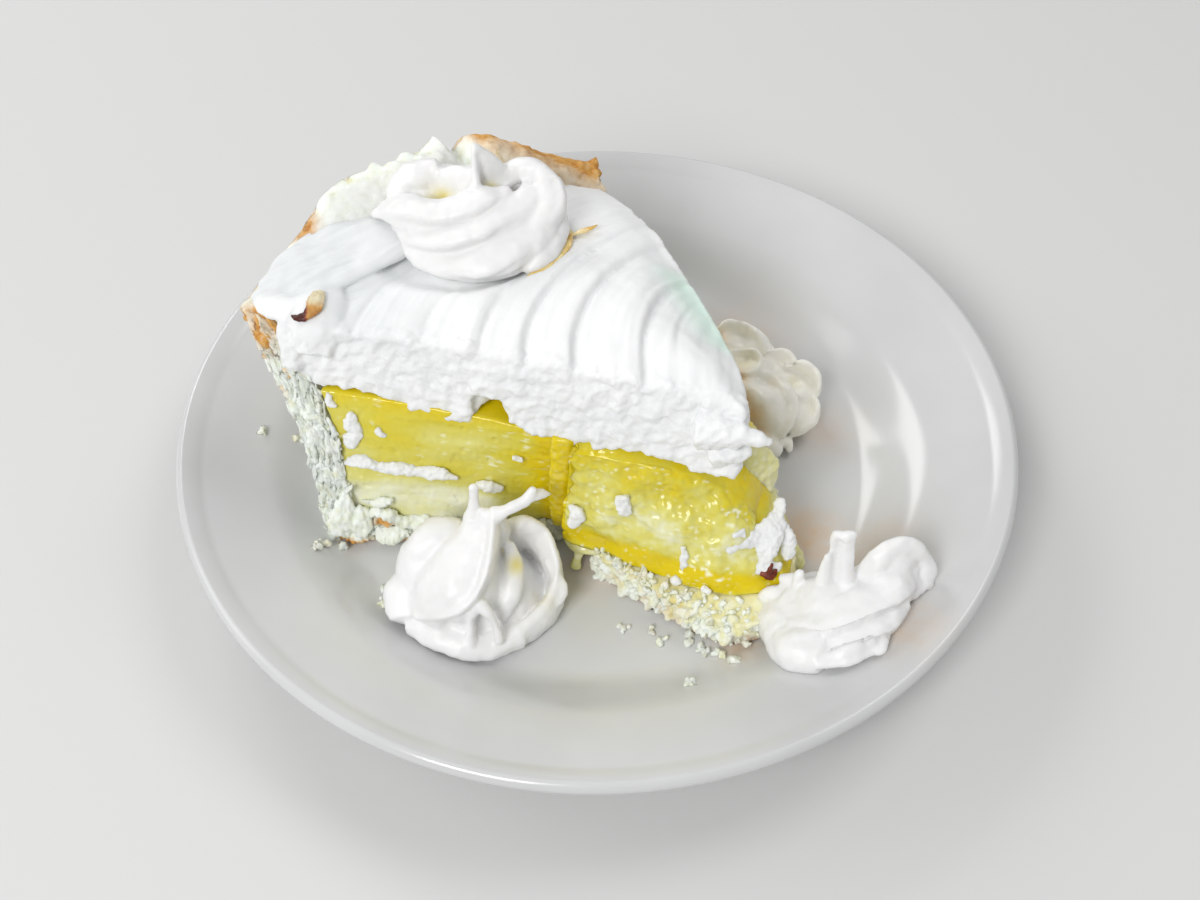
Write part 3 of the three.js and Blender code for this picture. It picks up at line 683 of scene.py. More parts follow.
def meringue_top(x, y, u, v):
    """Height of the top: a dome that falls to the tip and the rim, less the marks; flat under the whirl."""
    dome = 2.6 * np.sin(np.pi * u) * np.sin(np.pi * (0.15 + 0.7 * v))
    depth, bend = spatula_marks(x, y)
    depth = depth * (1 - 0.65 * smoothstep(u, 0.6, 1)) * smoothstep(v, 0.05, 0.3)
    lines = lumps(np.column_stack([bend, y / 14, 0 * x]), 1.7, 21)
    open_top = MERINGUE_TOP + dome - 3.5 * (1 - v) ** 4 - 2.5 * v**6 - depth + 0.25 * lines
    away = np.hypot(x - TOP_WHIRL[0], y - TOP_WHIRL[1])
    return mix(SEAT_HEIGHT, open_top, smoothstep(away, SEAT_RADIUS, SEAT_FADE))


def meringue_place(u, v, w):
    """u from the front to the back edge, v from the tip to the rim, w upwards."""
    front = mix(TIP_FRONT, CORNER_FRONT, v[:, None])
    front[:, 0] -= 2.7 * w * v**6
    rim = against_crust(0.985 * u, mix(FILLING_HEIGHT, MERINGUE_TOP, w))
    tip = mix(TIP_FRONT, TIP_BACK, u[:, None])
    inside = bow(tip, rim, v, -BACK_BOW * u)
    straight = mix(TIP_FRONT, rim, v[:, None])
    blend = (1 - smoothstep(u, 0, 0.3))[:, None]
    plan = inside + (front - straight) * blend
    from_edge = u * (4.5 + 45 * v)
    to_back = (1 - u) * (4 + 45 * v)
    low = filling_top(plan[:, 0], plan[:, 1]) + 3 * GAP
    edge = np.interp(v, *zip(*TORN_EDGE))
    low = mix(edge, np.maximum(low, edge), smoothstep(from_edge, 2.5, 5))
    top = meringue_top(plan[:, 0], plan[:, 1], u, v)
    facet = 3.2 * smoothstep(v, 0.12, 0.3) * (1 - smoothstep(v, 0.55, 0.75))
    round_edge = 1.1 * np.exp(-((from_edge / 1.1) ** 2)) + 1.6 * np.exp(-((to_back / 2.4) ** 2))
    round_edge += facet * np.exp(-((to_back / 5.5) ** 2))
    place = np.column_stack([plan, mix(low, top - round_edge, w)])
    notch = smoothstep(v, 0.505, 0.53) * (1 - smoothstep(v, 0.585, 0.605)) * (1 - smoothstep(w, 0.1, 0.32))
    place[:, 1] += 2.4 * (1 - u) ** 4 * w + 3.6 * notch * (1 - smoothstep(from_edge, 0, 8))
    return place


meringue_parts = [
    block((90, 240, 44), meringue_place)[:2],
    # a thick sweep of the spatula from under the whirl out over the left rim
    strand(UP, (-34, 17, 59.6, 5, 1.2), (-43, 12.8, 60.4, 7.6, 1.6), (-50, 8.6, 60.8, 8.8, 1.5),
           (-56.5, 4.6, 60.4, 8.4, 1.5), (-62, 1.6, 59.6, 6, 1.4), (-67, -1.6, 58.4, 1.8, 0.9), square=0.6,
           turns=72),
    strand(UP, (-50, 14, 60.6, 4, 1.2), (-54.6, 16, 60, 3, 1.0), (-57.6, 14.4, 59.4, 1.2, 0.8)),
    strand(FRONT, (-60, -8.4, 57.6, 3, 2.4), (-60.6, -11, 53, 2.6, 2), (-60.4, -12.4, 48, 2, 1.6)),
    strand(UP, (-67, -1.2, 58, 2.6, 1.2), (-63.8, -4.8, 58.6, 4, 1.8), (-59, -8, 58.8, 3.4, 2)),
    # a soft roll at the corner, in front of it
    strand(FRONT, (-54, 0, 58.6, 3.5, 2), (-54.5, -6, 58.6, 5.6, 2.8), (-55, -10.5, 57.4, 5.6, 3),
           (-55.5, -13, 53, 4, 2.2), turns=60),
    # the torn spike and knobs at the tip
    strand(UP, (20, -31.5, 50.5, 4.5, 4), (26, -34, 51.4, 2.8, 2.6), (30, -35.2, 51.6, 1.6, 1.4),
           (33, -36, 51.2, 0.5, 0.5)),
    strand(UP, (29.6, -35, 51, 1.4, 1.2), (32.2, -35.6, 52.4, 0.4, 0.4)),
    strand(UP, (23, -32.5, 45, 3.4, 3), (28, -34.8, 46.6, 1.8, 1.6), (29.4, -35, 46.4, 0.8, 0.8)),
    strand(UP, (25.5, -31, 55, 2.6, 2), (28, -29, 55.6, 1.2, 1)),
]
points, faces = fused("meringue_cap", meringue_parts, voxel=0.41, rounds=3)
# where it is cut: up to 3 mm behind the front cut, round the tip, and as far from the back cut
x, y, z = points.T
chord = CORNER_FRONT - TIP_FRONT
behind = ((y - TIP_FRONT[1]) * chord[0] - (x - TIP_FRONT[0]) * chord[1]) / -np.hypot(*chord)
behind -= 2.4 * np.clip((z - 42) / 18, 0, 1)
at_tip = np.exp(-np.hypot(x - 29, y + 33) / 3)
smooth_corner = np.exp(-(((x + 56) / 7) ** 2 + ((z - 61) / 4.5) ** 2)) * (behind > -4)
inland = (TIP_BACK[0] - x) * BACK_WAY[1] + (y - TIP_BACK[1]) * BACK_WAY[0]
along = (x - TIP_BACK[0]) * BACK_WAY[0] + (y - TIP_BACK[1]) * BACK_WAY[1]
inland += BACK_BOW * 4 * (along / BACK_LENGTH) * (1 - along / BACK_LENGTH)
back_cut = (1 - smoothstep(inland, 0.8, 3)) * (1 - smoothstep(z, 51, 54))
spongy = np.maximum(np.maximum(1 - smoothstep(behind, 0.9, 3.2), at_tip) * (1 - smooth_corner), back_cut)
# torn sponge on the cuts; on top soft waves, fine drag lines and the strokes smeared over the rim
sponge = 0.8 * np.abs(lumps(points, 4.2, 22)) + 0.6 * lumps(points, 2.3, 23) + 0.36 * lumps(points, 1.15, 24)
sponge -= 1.7 * np.maximum(0, lumps(points, 3.1, 25) - 0.35)
smooth = 0.3 * lumps(points, 9, 26) + 0.12 * lumps(points, 3, 27)
smeared = (1 - smoothstep(x, -50, -44)) * smoothstep(y, -7, -3) * smoothstep(z, 57, 59)
sweep = np.column_stack([points[:, :2] @ (-0.87, -0.49) / 7, points[:, :2] @ (0.49, -0.87), z / 2])
smooth += smeared * (0.6 * lumps(points, 4.5, 28) + 0.55 * lumps(sweep, 1.3, 29))
_, bend = spatula_marks(x, y)
drawn = np.column_stack([bend, y / 9, 0 * bend])
drag = (0.14 + 0.12 * lumps(points, 11, 31)) * lumps(drawn, 1.1, 30)
smooth += drag * (1 - smeared) * smoothstep(z, 55, 57)
points = relaxed(pushed(points, faces, mix(smooth, sponge, spongy)), faces, 1)
x, y, z = points.T
# greyer where it is smeared, and a band of painted shade across the top at the left;
# greener where the foam is thin and the custard shows through
painted_shade_band = 0.5 * np.exp(-(((x + 45) / 11) ** 2)) * smoothstep(z, 54, 58)
edge = 21.5 - 0.45 * (y + 5)
thin = np.exp(-(((x - edge) / 5) ** 2)) * smoothstep(y, -20, -13)
thin *= (1 - smoothstep(y, 3, 9)) * smoothstep(z, 50, 54)

# Egg-white foam: matt, IOR 1.35, roughness 0.58, light scatters 3 mm deep; pores 1.1 mm, strong on the
# cut, faint elsewhere.
foam_white, tree, where, veil, spread, torn = surface("Meringue foam, unbrowned", "thin", "smeared", "spongy")
tint = add(tree, "TexNoise", {"Scale": 60.0, "Detail": 2.0}, {"Vector": where})
foam = add(tree, "ValToRGB", links={"Fac": tint}, stops=((0.3, "#eaecec"), (0.7, "#f0f1f1")))
seen = add(tree, "Mix", {"data_type": "RGBA", 7: linear("#e0f5ea")}, {0: veil, 6: foam}, out=2)
# greyer where it is smeared, and painted shade where the smeared mark holds the painted band
smear_grey_and_painted_shade = add(tree, "Mix", {"data_type": "RGBA", 7: linear("#d8dbdc")}, {0: spread, 6: seen}, out=2)
pores = add(tree, "TexNoise", {"Scale": 900.0, "Detail": 4.0}, {"Vector": where})
strength = add(tree, "MapRange", {"To Min": 0.12, "To Max": 0.7}, {"Value": torn})
bubbles = add(tree, "Bump", {"Distance": 0.0004}, {"Height": pores, "Strength": strength})
shade(tree, {"Roughness": 0.58, "IOR": 1.35, "Subsurface Weight": 0.3, "Subsurface Scale": 0.003,
             "Subsurface Radius": (1.0, 0.95, 0.9)}, {"Base Color": smear_grey_and_painted_shade, "Normal": bubbles})

# the smeared mark also carries the band of painted shade on the top at the left
meringue = skin("meringue_cap", points, faces, foam_white,
                {"spongy": spongy, "thin": thin, "smeared": np.maximum(0.7 * smeared, painted_shade_band)})
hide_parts("meringue")

# ---- Crust of the tip ----------------------------------------------------------------------------
# The point of the slice has broken off below the meringue and slid forward. This is its share of the
# base: a lump of pale crumbly shortcrust, stained yellow by custard from above.


def tip_crust_place(u, v, w):
    """u from left to right, v from the front to the back, w upwards."""
    front = spline([(-0.5, -33), (9, -41), (19, -48), (29, -52.3), (40, -48)], u)
    back = spline([(0, -26.5), (18, -18), (36, -9)], u)
    plan = mix(front, back, v[:, None])
    plan[:, 0] += 2.5 * np.sin(np.pi * v) * u
    return np.column_stack([plan, CRUST_BOTTOM + BASE_CRUST * w])


points, faces, (u, v, w) = block((110, 60, 28), tip_crust_place)
cut = ((v == 0) | (u == 0) | (u == 1)).astype(float)
layer = np.floor(4 * w + 0.9 * lumps(points, 5, 31) + 0.5)
flakes = lumps(np.column_stack([points[:, 0], 5.3 * layer, points[:, 1] + 9 * layer]), 2.2, 32)
crumbly = 0.9 * flakes + 1.3 * lumps(points, 3.6, 33) + 0.8 * lumps(points, 1.4, 34)
points = above_plate(pushed(points, faces, mix(0.4 * lumps(points, 3, 35), crumbly, cut)), GAP)
toast = 0.1 + 0.3 * (lumps(points, 5, 36) > 0.25) * cut + 0.5 * (w == 0)
lemony = np.clip(0.5 * smoothstep(w, 0.5, 1) + 0.4 * lumps(points, 3, 65), 0, 0.7)
tip_crust = skin("broken_crust_tip", points, faces, pastry, {"toast": toast, "soaked": lemony})
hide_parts("tip_crust")

# ---- Clumps on the tip ---------------------------------------------------------------------------
# Torn clumps of shortcrust, 3 to 5 mm across, that hang on the broken front of the tip crust.

clumps = []
for at in np.linspace(0.03, 0.97, 44):
    spot = np.array([[at], [draw.uniform(0, 0.06)], [draw.uniform(0.1, 1)]])
    centre = tip_crust_place(*spot)[0]
    way = draw.normal(0, 1, 3) * (1.5, 0.5, 0.9)
    middle = (draw.uniform(1.3, 2.8), draw.uniform(0.9, 1.7))
    clumps.append(strand(FRONT, (*(centre - way), 0.6, 0.4), (*centre, *middle),
                         (*(centre + 0.8 * way), 0.4, 0.3), steps=14, turns=12))
points, faces = fused("tip_crust_clumps", clumps, voxel=0.28, rounds=1)
points = pushed(points, faces, 0.9 * lumps(points, 2.2, 62) + 0.6 * lumps(points, 1.0, 63))
points = above_plate(points, 0.05)
toast = 0.12 + 0.35 * lumps(points, 4, 64)
lemony = np.clip(0.06 + 0.7 * lumps(points, 3, 65), 0, 0.6)
clumps = skin("tip_crust_clumps", points, faces, pastry, {"toast": toast, "soaked": lemony})

# ---- Loose crumbs --------------------------------------------------------------------------------
# Small grains of shortcrust between those clumps, and little groups of crumbs that have fallen from the
# slice on to the plate.

# Where crumbs have fallen on the plate: x, y
FALLEN_CRUMBS = (
    (-74.5, -1.7), (-67.6, 0.2), (-59.3, -28.4), (-54.9, -27.3), (-45.3, -37.6), (-46.2, -41.8),
    (5.6, -47.3), (10.8, -48.6), (19, -50.6), (25, -54.1), (12.8, -50.5), (20.9, -53.5), (27.7, -56.6),
    (18.2, -63.4), (-60.2, -30.1))
coarse = 190
along = draw.uniform(0.0, 1.0, coarse)
back = 0.16 * draw.uniform(0, 1, coarse) ** 2
places = tip_crust_place(along, back, np.maximum(draw.uniform(0, 1.02, coarse), back > 0.02))
places += draw.normal(0, 0.35, (coarse, 3)) + (0, -0.4, 0.2)
axes = grains(coarse, 0.25, 0.95)
fallen = np.repeat(np.array(FALLEN_CRUMBS, float), 4, 0)
fallen[:, :2] += draw.normal(0, 0.5, (len(fallen), 2))
fallen = np.column_stack([fallen, plate_top(np.hypot(*fallen.T)) + 0.3])
places = np.concatenate([places, fallen])
points, faces = crumbs(places, np.concatenate([axes, grains(len(fallen), 0.3, 1.2)]), 8)
points = above_plate(points, 0.03)
toast = 0.05 + 0.2 * lumps(points, 3, 9)
lemony = np.clip(0.04 + 0.5 * lumps(points, 3, 65), 0, 0.5)
loose = skin("loose_crumbs", points, faces, pastry, {"toast": toast, "soaked": lemony})

# ---- Custard of the tip --------------------------------------------------------------------------
# The tip's share of the custard, torn from the slice: it stands on the tip crust, leans back under the
# meringue, and its front has slumped and shines.


def tip_filling_place(u, v, w):
    """u from left to right, v from the front to the back, w upwards; the front slumps to its foot."""
    foot = spline([(-7.5, -30.5), (1, -33.5), (9, -38.3), (25, -45), (39, -43)], u)
    brow = spline([(-5.5, -28), (13, -31.5), (32, -33)], u)
    back = spline([(-4, -27.3), (16, -18.5), (34.5, -11)], u)
    plan = mix(mix(foot, brow, (w**1.1)[:, None]), back, v[:, None])
    low = CRUST_BOTTOM + BASE_CRUST + GAP
    high = filling_top(plan[:, 0], plan[:, 1]) - 0.4 - 2.5 * (1 - v) ** 2 - 13 * u**4
    plan[:, 0] += 4 * np.sin(np.pi * v) * u * (1 - 0.5 * w)
    return np.column_stack([plan, mix(low, high, w)])


points, faces, (u, v, w) = block((130, 50, 84), tip_filling_place)
cut = ((v == 0) | (u == 0)).astype(float)
slump = 1.1 * lumps(points, 8, 41) + 0.7 * lumps(points, 3.4, 42, (1.4, 1.4, 1))
slump += 0.3 * lumps(points, 1.3, 49) * smoothstep(w, 0.2, 0.35)
points = pushed(points, faces, curd_relief(points, np.maximum(cut, 0.6)) + slump * cut)
flecks = np.maximum(0, lumps(points, 0.9, 43, (1.3, 1.3, 1)) * (0.7 + lumps(points, 6, 44)) - 0.3) * 3
# golden at its foot, pale across the middle, yellow again at the top
level = np.interp(w, (0, 0.06, 0.15, 0.24, 0.4, 0.7, 0.86, 1), (0.5, 0.8, 0.84, 0.3, 0.12, 0.26, 0.5, 0.58))
level += 0.2 * lumps(points, 8, 45) + 0.14 * lumps(points, 1.6, 46) + 0.5 * (u < 0.02)
tip_filling = skin("slumped_custard_tip", points, faces, curd, {"depth": level, "fleck": flecks * cut})
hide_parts("tip_filling")

# ---- Custard scraps ------------------------------------------------------------------------------
# Thin scraps of custard: a torn film at the right end, a drip off the tip crust, two crumbs of gel and
# a golden web that still joins the tip to the slice.

scraps = [
    strand(FRONT, (-6.4, -25.8, 41.2, 2.6, 1.2), (-7, -26.6, 35, 2.6, 1.0), (-7.6, -27, 27, 2.4, 1.0),
           (-8.0, -27, 19, 2.1, 0.8), (-8.4, -26.6, 14, 1.1, 0.6)),
    strand((0.6, -0.7, 0.3), (27.5, -25.5, 33.4, 1.4, 0.5), (31, -24.6, 33, 3.0, 0.5),
           (34.2, -23.8, 30, 3.4, 0.45), (36, -24.2, 26, 2.6, 0.45), (36.4, -25, 22.6, 0.6, 0.4)),
    strand((0.6, -0.7, 0.3), (33.6, -23.4, 31, 1.6, 0.4), (36.6, -22.6, 29.4, 1.2, 0.4),
           (37.4, -22.8, 27.6, 0.5, 0.3)),
    strand((0.6, -0.7, 0.4), (38, -33, 14, 2.2, 1.2), (41.5, -32.5, 10, 2.4, 1.0),
           (43.5, -33, 6.6, 1.4, 0.8)),
    strand(FRONT, (-3.6, -29.8, 10, 1.5, 1.2), (-4.4, -31.6, 8.2, 0.9, 0.8), (-4.8, -32.8, 6.3, 1.2, 0.9)),
    strand(FRONT, (-6.5, -28.6, 12, 1.2, 1.0), (-4, -30, 10.4, 1.5, 1.1), (0, -31.8, 11, 1.0, 0.9)),
]
points, faces = fused("custard_scraps", scraps, voxel=0.3, rounds=2)
points = pushed(points, faces, 0.3 * lumps(points, 1.6, 47))
web = smoothstep(points[:, 2], 12, 17) * (points[:, 0] < 0)
scraps = skin("custard_scraps", points, faces, curd,
              {"depth": mix(0.12, 0.7, web), "fleck": lumps(points, 1, 48) * mix(1, 0.25, web)})

# ---- Meringue smears -----------------------------------------------------------------------------
# Meringue smeared on the custard by the knife: thin ragged scraps that cling to both cut faces. Those on
# the slice itself, left of one x, stand a little proud of its cut.

SLICE_SMEARS = -10
SMEARS_FORWARD = 1.1
smears = [
    strand(FRONT, (-54.2, -13.6, 42.4, 0.7, 0.5), (-54.6, -14.6, 41, 0.9, 0.6),
           (-53, -15.2, 40.2, 0.5, 0.4)),
    strand(FRONT, (-49.6, -16.2, 39.4, 0.8, 0.6), (-50.4, -17, 37, 1.7, 0.9),
           (-49.2, -17.6, 35.6, 1.3, 0.8), (-50.6, -18.2, 33.3, 1.8, 0.9), (-51.4, -18.6, 31.4, 0.6, 0.5)),
    strand(FRONT, (-44.9, -18.2, 36.8, 0.9, 0.6), (-43.4, -18.8, 34.9, 0.6, 0.5)),
    strand(FRONT, (-53.2, -19.4, 27.2, 0.4, 0.4), (-49, -19.8, 28.6, 1.5, 0.8),
           (-45.3, -20.6, 27.4, 1.0, 0.7), (-41.1, -21.2, 27.6, 1.6, 0.9), (-37.3, -21.6, 27.2, 1.1, 0.7),
           (-33.5, -22.4, 27.4, 1.5, 0.8), (-29, -23, 26.4, 0.4, 0.4)),
    strand(FRONT, (-33, -22.6, 29, 0.6, 0.5), (-31, -22.6, 28, 0.5, 0.4)),
    strand(FRONT, (-25.2, -23.6, 25.4, 0.7, 0.6), (-22.4, -23.8, 24.7, 1.3, 0.8),
           (-19.8, -24.1, 24.2, 0.7, 0.5)),
    strand(FRONT, (-17, -23.9, 34.1, 0.5, 0.4), (-15, -24, 33.4, 0.8, 0.5)),
    strand(FRONT, (5, -33.2, 31.4, 1.5, 0.8), (5.6, -34, 27, 1.5, 0.8), square=0.5),
    strand(FRONT, (-5.4, -30.6, 25.4, 0.6, 0.5), (-4.2, -31.6, 23.5, 1.8, 1.1),
           (-5.3, -32.2, 20.6, 1.0, 0.8)),
    strand(FRONT, (17.5, -38.6, 21.6, 0.5, 0.4), (17.8, -39.8, 19, 0.8, 0.6), (17.4, -40.6, 16, 0.6, 0.5)),
    # the splash at the right: a stem, an arm to the left, a foot and a scrap behind it
    strand(FRONT, (37.6, -29.6, 25.6, 0.9, 0.7), (37, -32.4, 24, 1.6, 0.9), (35.6, -35.6, 22.6, 2.6, 1.1),
           (34.6, -38.6, 20.8, 2.4, 1.0), (34, -40.4, 18, 1.4, 0.8)),
    strand(FRONT, (36.6, -34.6, 22.8, 3.0, 1.0), (32.6, -36.8, 22.6, 2.2, 0.9), (29, -38.6, 22.8, 1.3, 0.8),
           (26.2, -39.8, 22, 1.0, 0.7)),
    strand(FRONT, (29.8, -37.6, 25, 1.0, 0.8), (27.4, -38.6, 25.2, 0.6, 0.5)),
    strand(FRONT, (31.6, -41, 17.8, 0.9, 0.7), (34, -41.2, 17.4, 1.3, 0.9), (37.6, -40.4, 17.6, 0.9, 0.7)),
    strand(FRONT, (38.2, -33.4, 22.6, 0.8, 0.7), (39.2, -36, 19.6, 1.7, 1.0), (39.2, -38.4, 17, 1.0, 0.8)),
    # small flecks of it among the crumbs of the tip
    strand(FRONT, (15.4, -41.8, 15.2, 0.9, 0.7), (16.8, -42.6, 14.4, 0.7, 0.6)),
    strand(FRONT, (21.4, -44.6, 15.8, 0.8, 0.7), (22.8, -45.2, 15, 0.6, 0.5)),
]
points, faces = fused("meringue_smears", smears, voxel=0.24, rounds=1)
points[:, 1] -= SMEARS_FORWARD * (points[:, 0] < SLICE_SMEARS)
points = pushed(points, faces, 0.4 * lumps(points, 1.6, 49) + 0.26 * lumps(points, 0.8, 50))
skin("meringue_smears", points, faces, foam_white, {"spongy": 0.2})

# ---- Scorched scraps -----------------------------------------------------------------------------
# Thin scorched skin of meringue, brittle and curled: a curl at the left corner of the slice and a scrap
# on the custard of the tip.

# Scorched meringue: a dull sheen, IOR 1.4, roughness 0.45, pale to dark brown in blotches 1.4 mm across.
scorched, tree, where, burnt = surface("Meringue, scorched brown", "scorch")
blotch = add(tree, "TexNoise", {"Scale": 700.0, "Detail": 3.0}, {"Vector": where})
level = add(tree, "Math", {"operation": "MULTIPLY_ADD", 1: 0.35}, {0: blotch, 2: burnt})
brown = add(tree, "ValToRGB", links={"Fac": level},
            stops=((0.15, "#d8cfae"), (0.45, "#c4934e"), (0.8, "#7c3018"), (1.0, "#4a1a10")))
shade(tree, {"Roughness": 0.45, "IOR": 1.4}, {"Base Color": brown})
curl = [
    strand(UP, (-54.5, -5.2, 61.8, 1.2, 0.4), (-54.8, -7.4, 61.9, 1.7, 0.5), (-55, -9.4, 61.6, 1.7, 0.6),
           (-56.4, -11, 60.9, 1.2, 0.6), (-58.2, -11.1, 60.4, 0.9, 0.5), (-59.7, -9.9, 60, 0.2, 0.2)),
    strand(FRONT, (33.2, -42.2, 17.4, 0.4, 0.3), (35.2, -42.6, 17, 1.1, 0.5), (36.6, -41.4, 17.4, 0.4, 0.3)),
    strand(FRONT, (35, -42.4, 17.6, 0.7, 0.4), (35.4, -41.4, 19.6, 0.3, 0.3)),
]
points, faces = fused("scorched_scraps", curl, voxel=0.2, rounds=1)
points = pushed(points, faces, 0.2 * lumps(points, 0.8, 52))
scorch = 0.4 * smoothstep(-points[:, 1], 8, 10.6) + 0.6 * smoothstep(-points[:, 0], 55.8, 57.2)
scorch = np.where(points[:, 0] < 0, scorch - 0.05, 0.7)
skin("scorched_scraps", points, faces, scorched, {"scorch": scorch})

# ---- Whirl on top --------------------------------------------------------------------------------
# A rosette of whipped cream, piped with a star tip on the meringue: a pleated core with leaves that wind
# up and in, a round arc at the right and a peak drawn up into a blade that leans to the left.

UPRIGHT = (0, -1, 0)
FOLD_REACH = 6.0
ROSETTE_RADIUS = 15.4
ROSETTE_SEAT = 58.5
ROSETTE_PEAK = 74
ROSETTE_PLEATS = 7
ROSETTE_TWIST = 3
ROSETTE_SHIFT = (0.6, 0.8)
ROSETTE_LEAN = (3, -1)
# Radius (share of the full one) and height (0 to 1) from the foot to the peak
ROSETTE_OUTLINE = (
    (0, 0), (0.9, 0), (1, 0.14), (0.94, 0.36), (0.74, 0.54), (0.5, 0.62), (0.24, 0.74), (0.1, 0.94), (0, 1))
# Its folds: turn and width in degrees, height and run (0 to 1), push outwards in mm
ROSETTE_FOLDS = (
    (125, 50, 0.1, 0.5, -7),
    (-20, 34, 0.15, 0.25, 2.2),
    (-105, 40, 0.72, 0.14, -2.6),
)


def rosette():
    """Core of the top whirl: r = radius reach (1.05 - 0.24 crease sin(pi level)) + Gaussian folds."""
    level = np.linspace(0, 1, 90)[1:-1]
    reach, rise = spline(ROSETTE_OUTLINE, level).T[:, :, None]
    rise = np.maximum(0, rise)
    turn = np.linspace(0, 2 * np.pi, 160, endpoint=False)[None, :]
    crease = 1 - np.abs(np.cos(0.5 * ROSETTE_PLEATS * turn + ROSETTE_TWIST * rise))
    out = ROSETTE_RADIUS * reach * (1.05 - 0.24 * crease * np.sin(np.pi * level)[:, None])
    for crest, width, at, run, push in ROSETTE_FOLDS:
        aside = 2 * np.sin((turn - np.radians(crest) + ROSETTE_TWIST * (rise - at)) / 2)
        out = out + reach**0.3 * push * np.exp(-((aside / np.radians(width)) ** 2) - ((rise - at) / run) ** 2)
    out = np.maximum(0.05, out)
    x, y = TOP_WHIRL + ROSETTE_SHIFT
    ahead, aside = ROSETTE_LEAN
    plan = x + out * np.cos(turn) + ahead * rise**2, y + out * np.sin(turn) + aside * rise**2
    rings = np.stack([*plan, mix(ROSETTE_SEAT, ROSETTE_PEAK, rise) + 0 * out], -1)
    return capped(rings, (x, y, rings[0, 0, 2]), (x + ahead, y + aside, ROSETTE_PEAK))


# Whipped cream: a soft fatty sheen, IOR 1.45, roughness 0.4 and down to 0.18 where it has aged, light
# scatters 3 mm deep; clouds 11 mm and a silky grain of 2.2 mm, with lemon stains and soaked-in syrup.
# Where it has aged it is a warm ivory, also painted brighter than fresh cream: painted light on the shaded
# back whirl.
cream, tree, where, aged_and_painted_light_mark, lemon, soak = surface("Whipped cream, piped", "ivory_and_painted_light", "lemon", "syrup")
cloud = add(tree, "TexNoise", {"Scale": 90.0, "Detail": 3.0}, {"Vector": where})
pure = add(tree, "ValToRGB", links={"Fac": cloud}, stops=((0.3, "#e8e8e7"), (0.7, "#eeeeee")))
# warm ivory where it has aged, painted brighter than the plain cream: painted light on the shaded back whirl
ivory_and_painted_light_colour = add(tree, "Mix", {"data_type": "RGBA", 7: linear("#fdfaee")}, {0: aged_and_painted_light_mark, 6: pure}, out=2)
stained = add(tree, "Mix", {"data_type": "RGBA", 7: linear("#dccb2c")}, {0: lemon, 6: ivory_and_painted_light_colour}, out=2)
soaked = add(tree, "Mix", {"data_type": "RGBA", 7: linear("#dfae5e")}, {0: soak, 6: stained}, out=2)
gloss = add(tree, "MapRange", {"To Min": 0.4, "To Max": 0.18}, {"Value": aged_and_painted_light_mark})
fine = add(tree, "TexNoise", {"Scale": 450.0, "Detail": 3.0}, {"Vector": where})
silk = add(tree, "Bump", {"Strength": 0.2, "Distance": 0.0003}, {"Height": fine})
shade(tree, {"IOR": 1.45, "Subsurface Weight": 0.35, "Subsurface Scale": 0.003,
             "Subsurface Radius": (1.0, 0.95, 0.88)},
      {"Base Color": soaked, "Roughness": gloss, "Normal": silk})


def fold(points, faces, left, right, facing, *rows):
    """Raises a crest along rows (x, y, z, height) by height exp(-(aside / width)^2), left and right width."""
    curve = spline(rows, np.linspace(0, 1, 90))
    line = curve[:, :3]
    facing = np.array(facing) / np.linalg.norm(facing)
    tangent, side = sideways(line, facing)
    near = np.argmin(np.sum((points[:, None] - line[None]) ** 2, axis=2), axis=1)
    offset = points - line[near]
    aside = np.sum(offset * side[near], axis=1)
    past_end = np.sum(offset * tangent[near], axis=1) / 2
    deep = offset @ facing / FOLD_REACH
    fade = np.exp(-((aside / np.where(aside > 0, left, right)) ** 2) - deep**2 - past_end**2)
    return pushed(points, faces, curve[near, 3] * fade)


def marked(points, marks):
    """Strength at each point of soft round marks (x, y, z, spread, strength)."""
    level = np.zeros(len(points))
    for x, y, z, spread, strength in marks:
        away = np.sum((points - (x, y, z)) ** 2, axis=1)
        level = np.maximum(level, strength * np.exp(-away / spread**2))
    return level


def whirl(name, node, parts, folds, dents, stains, soaks=(), ivory_and_painted_light=0.0, seed=0):
    """Fuses the parts of a whirl, folds and dents it, adds the waviness of cream, stands for the node.

    A fold is left and right width, facing and rows; a dent is centre, size and push; a stain or soak is
    x, y, z, spread and strength.
    """
    points, faces = fused(name, parts, voxel=0.4, rounds=3)
    for crest in folds:
        points = fold(points, faces, *crest)
    for centre, size, push in dents:
        away = np.sum((points - centre) ** 2, axis=1)
        points = points + np.exp(-away / size**2)[:, None] * np.array(push)
    wavy = 0.35 * lumps(points, 5, seed) + 0.2 * lumps(points, 2.2, seed + 1)
    wavy += 0.07 * lumps(points, 1.1, seed + 2)
    points = relaxed(pushed(points, faces, wavy), faces, 1)
    marks = {"ivory_and_painted_light": ivory_and_painted_light, "lemon": marked(points, stains), "syrup": marked(points, soaks)}
    if node != "whirl_top":
        points = above_plate(points, 0.1)
    piece = skin(name, points, faces, cream, marks)
    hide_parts(node)


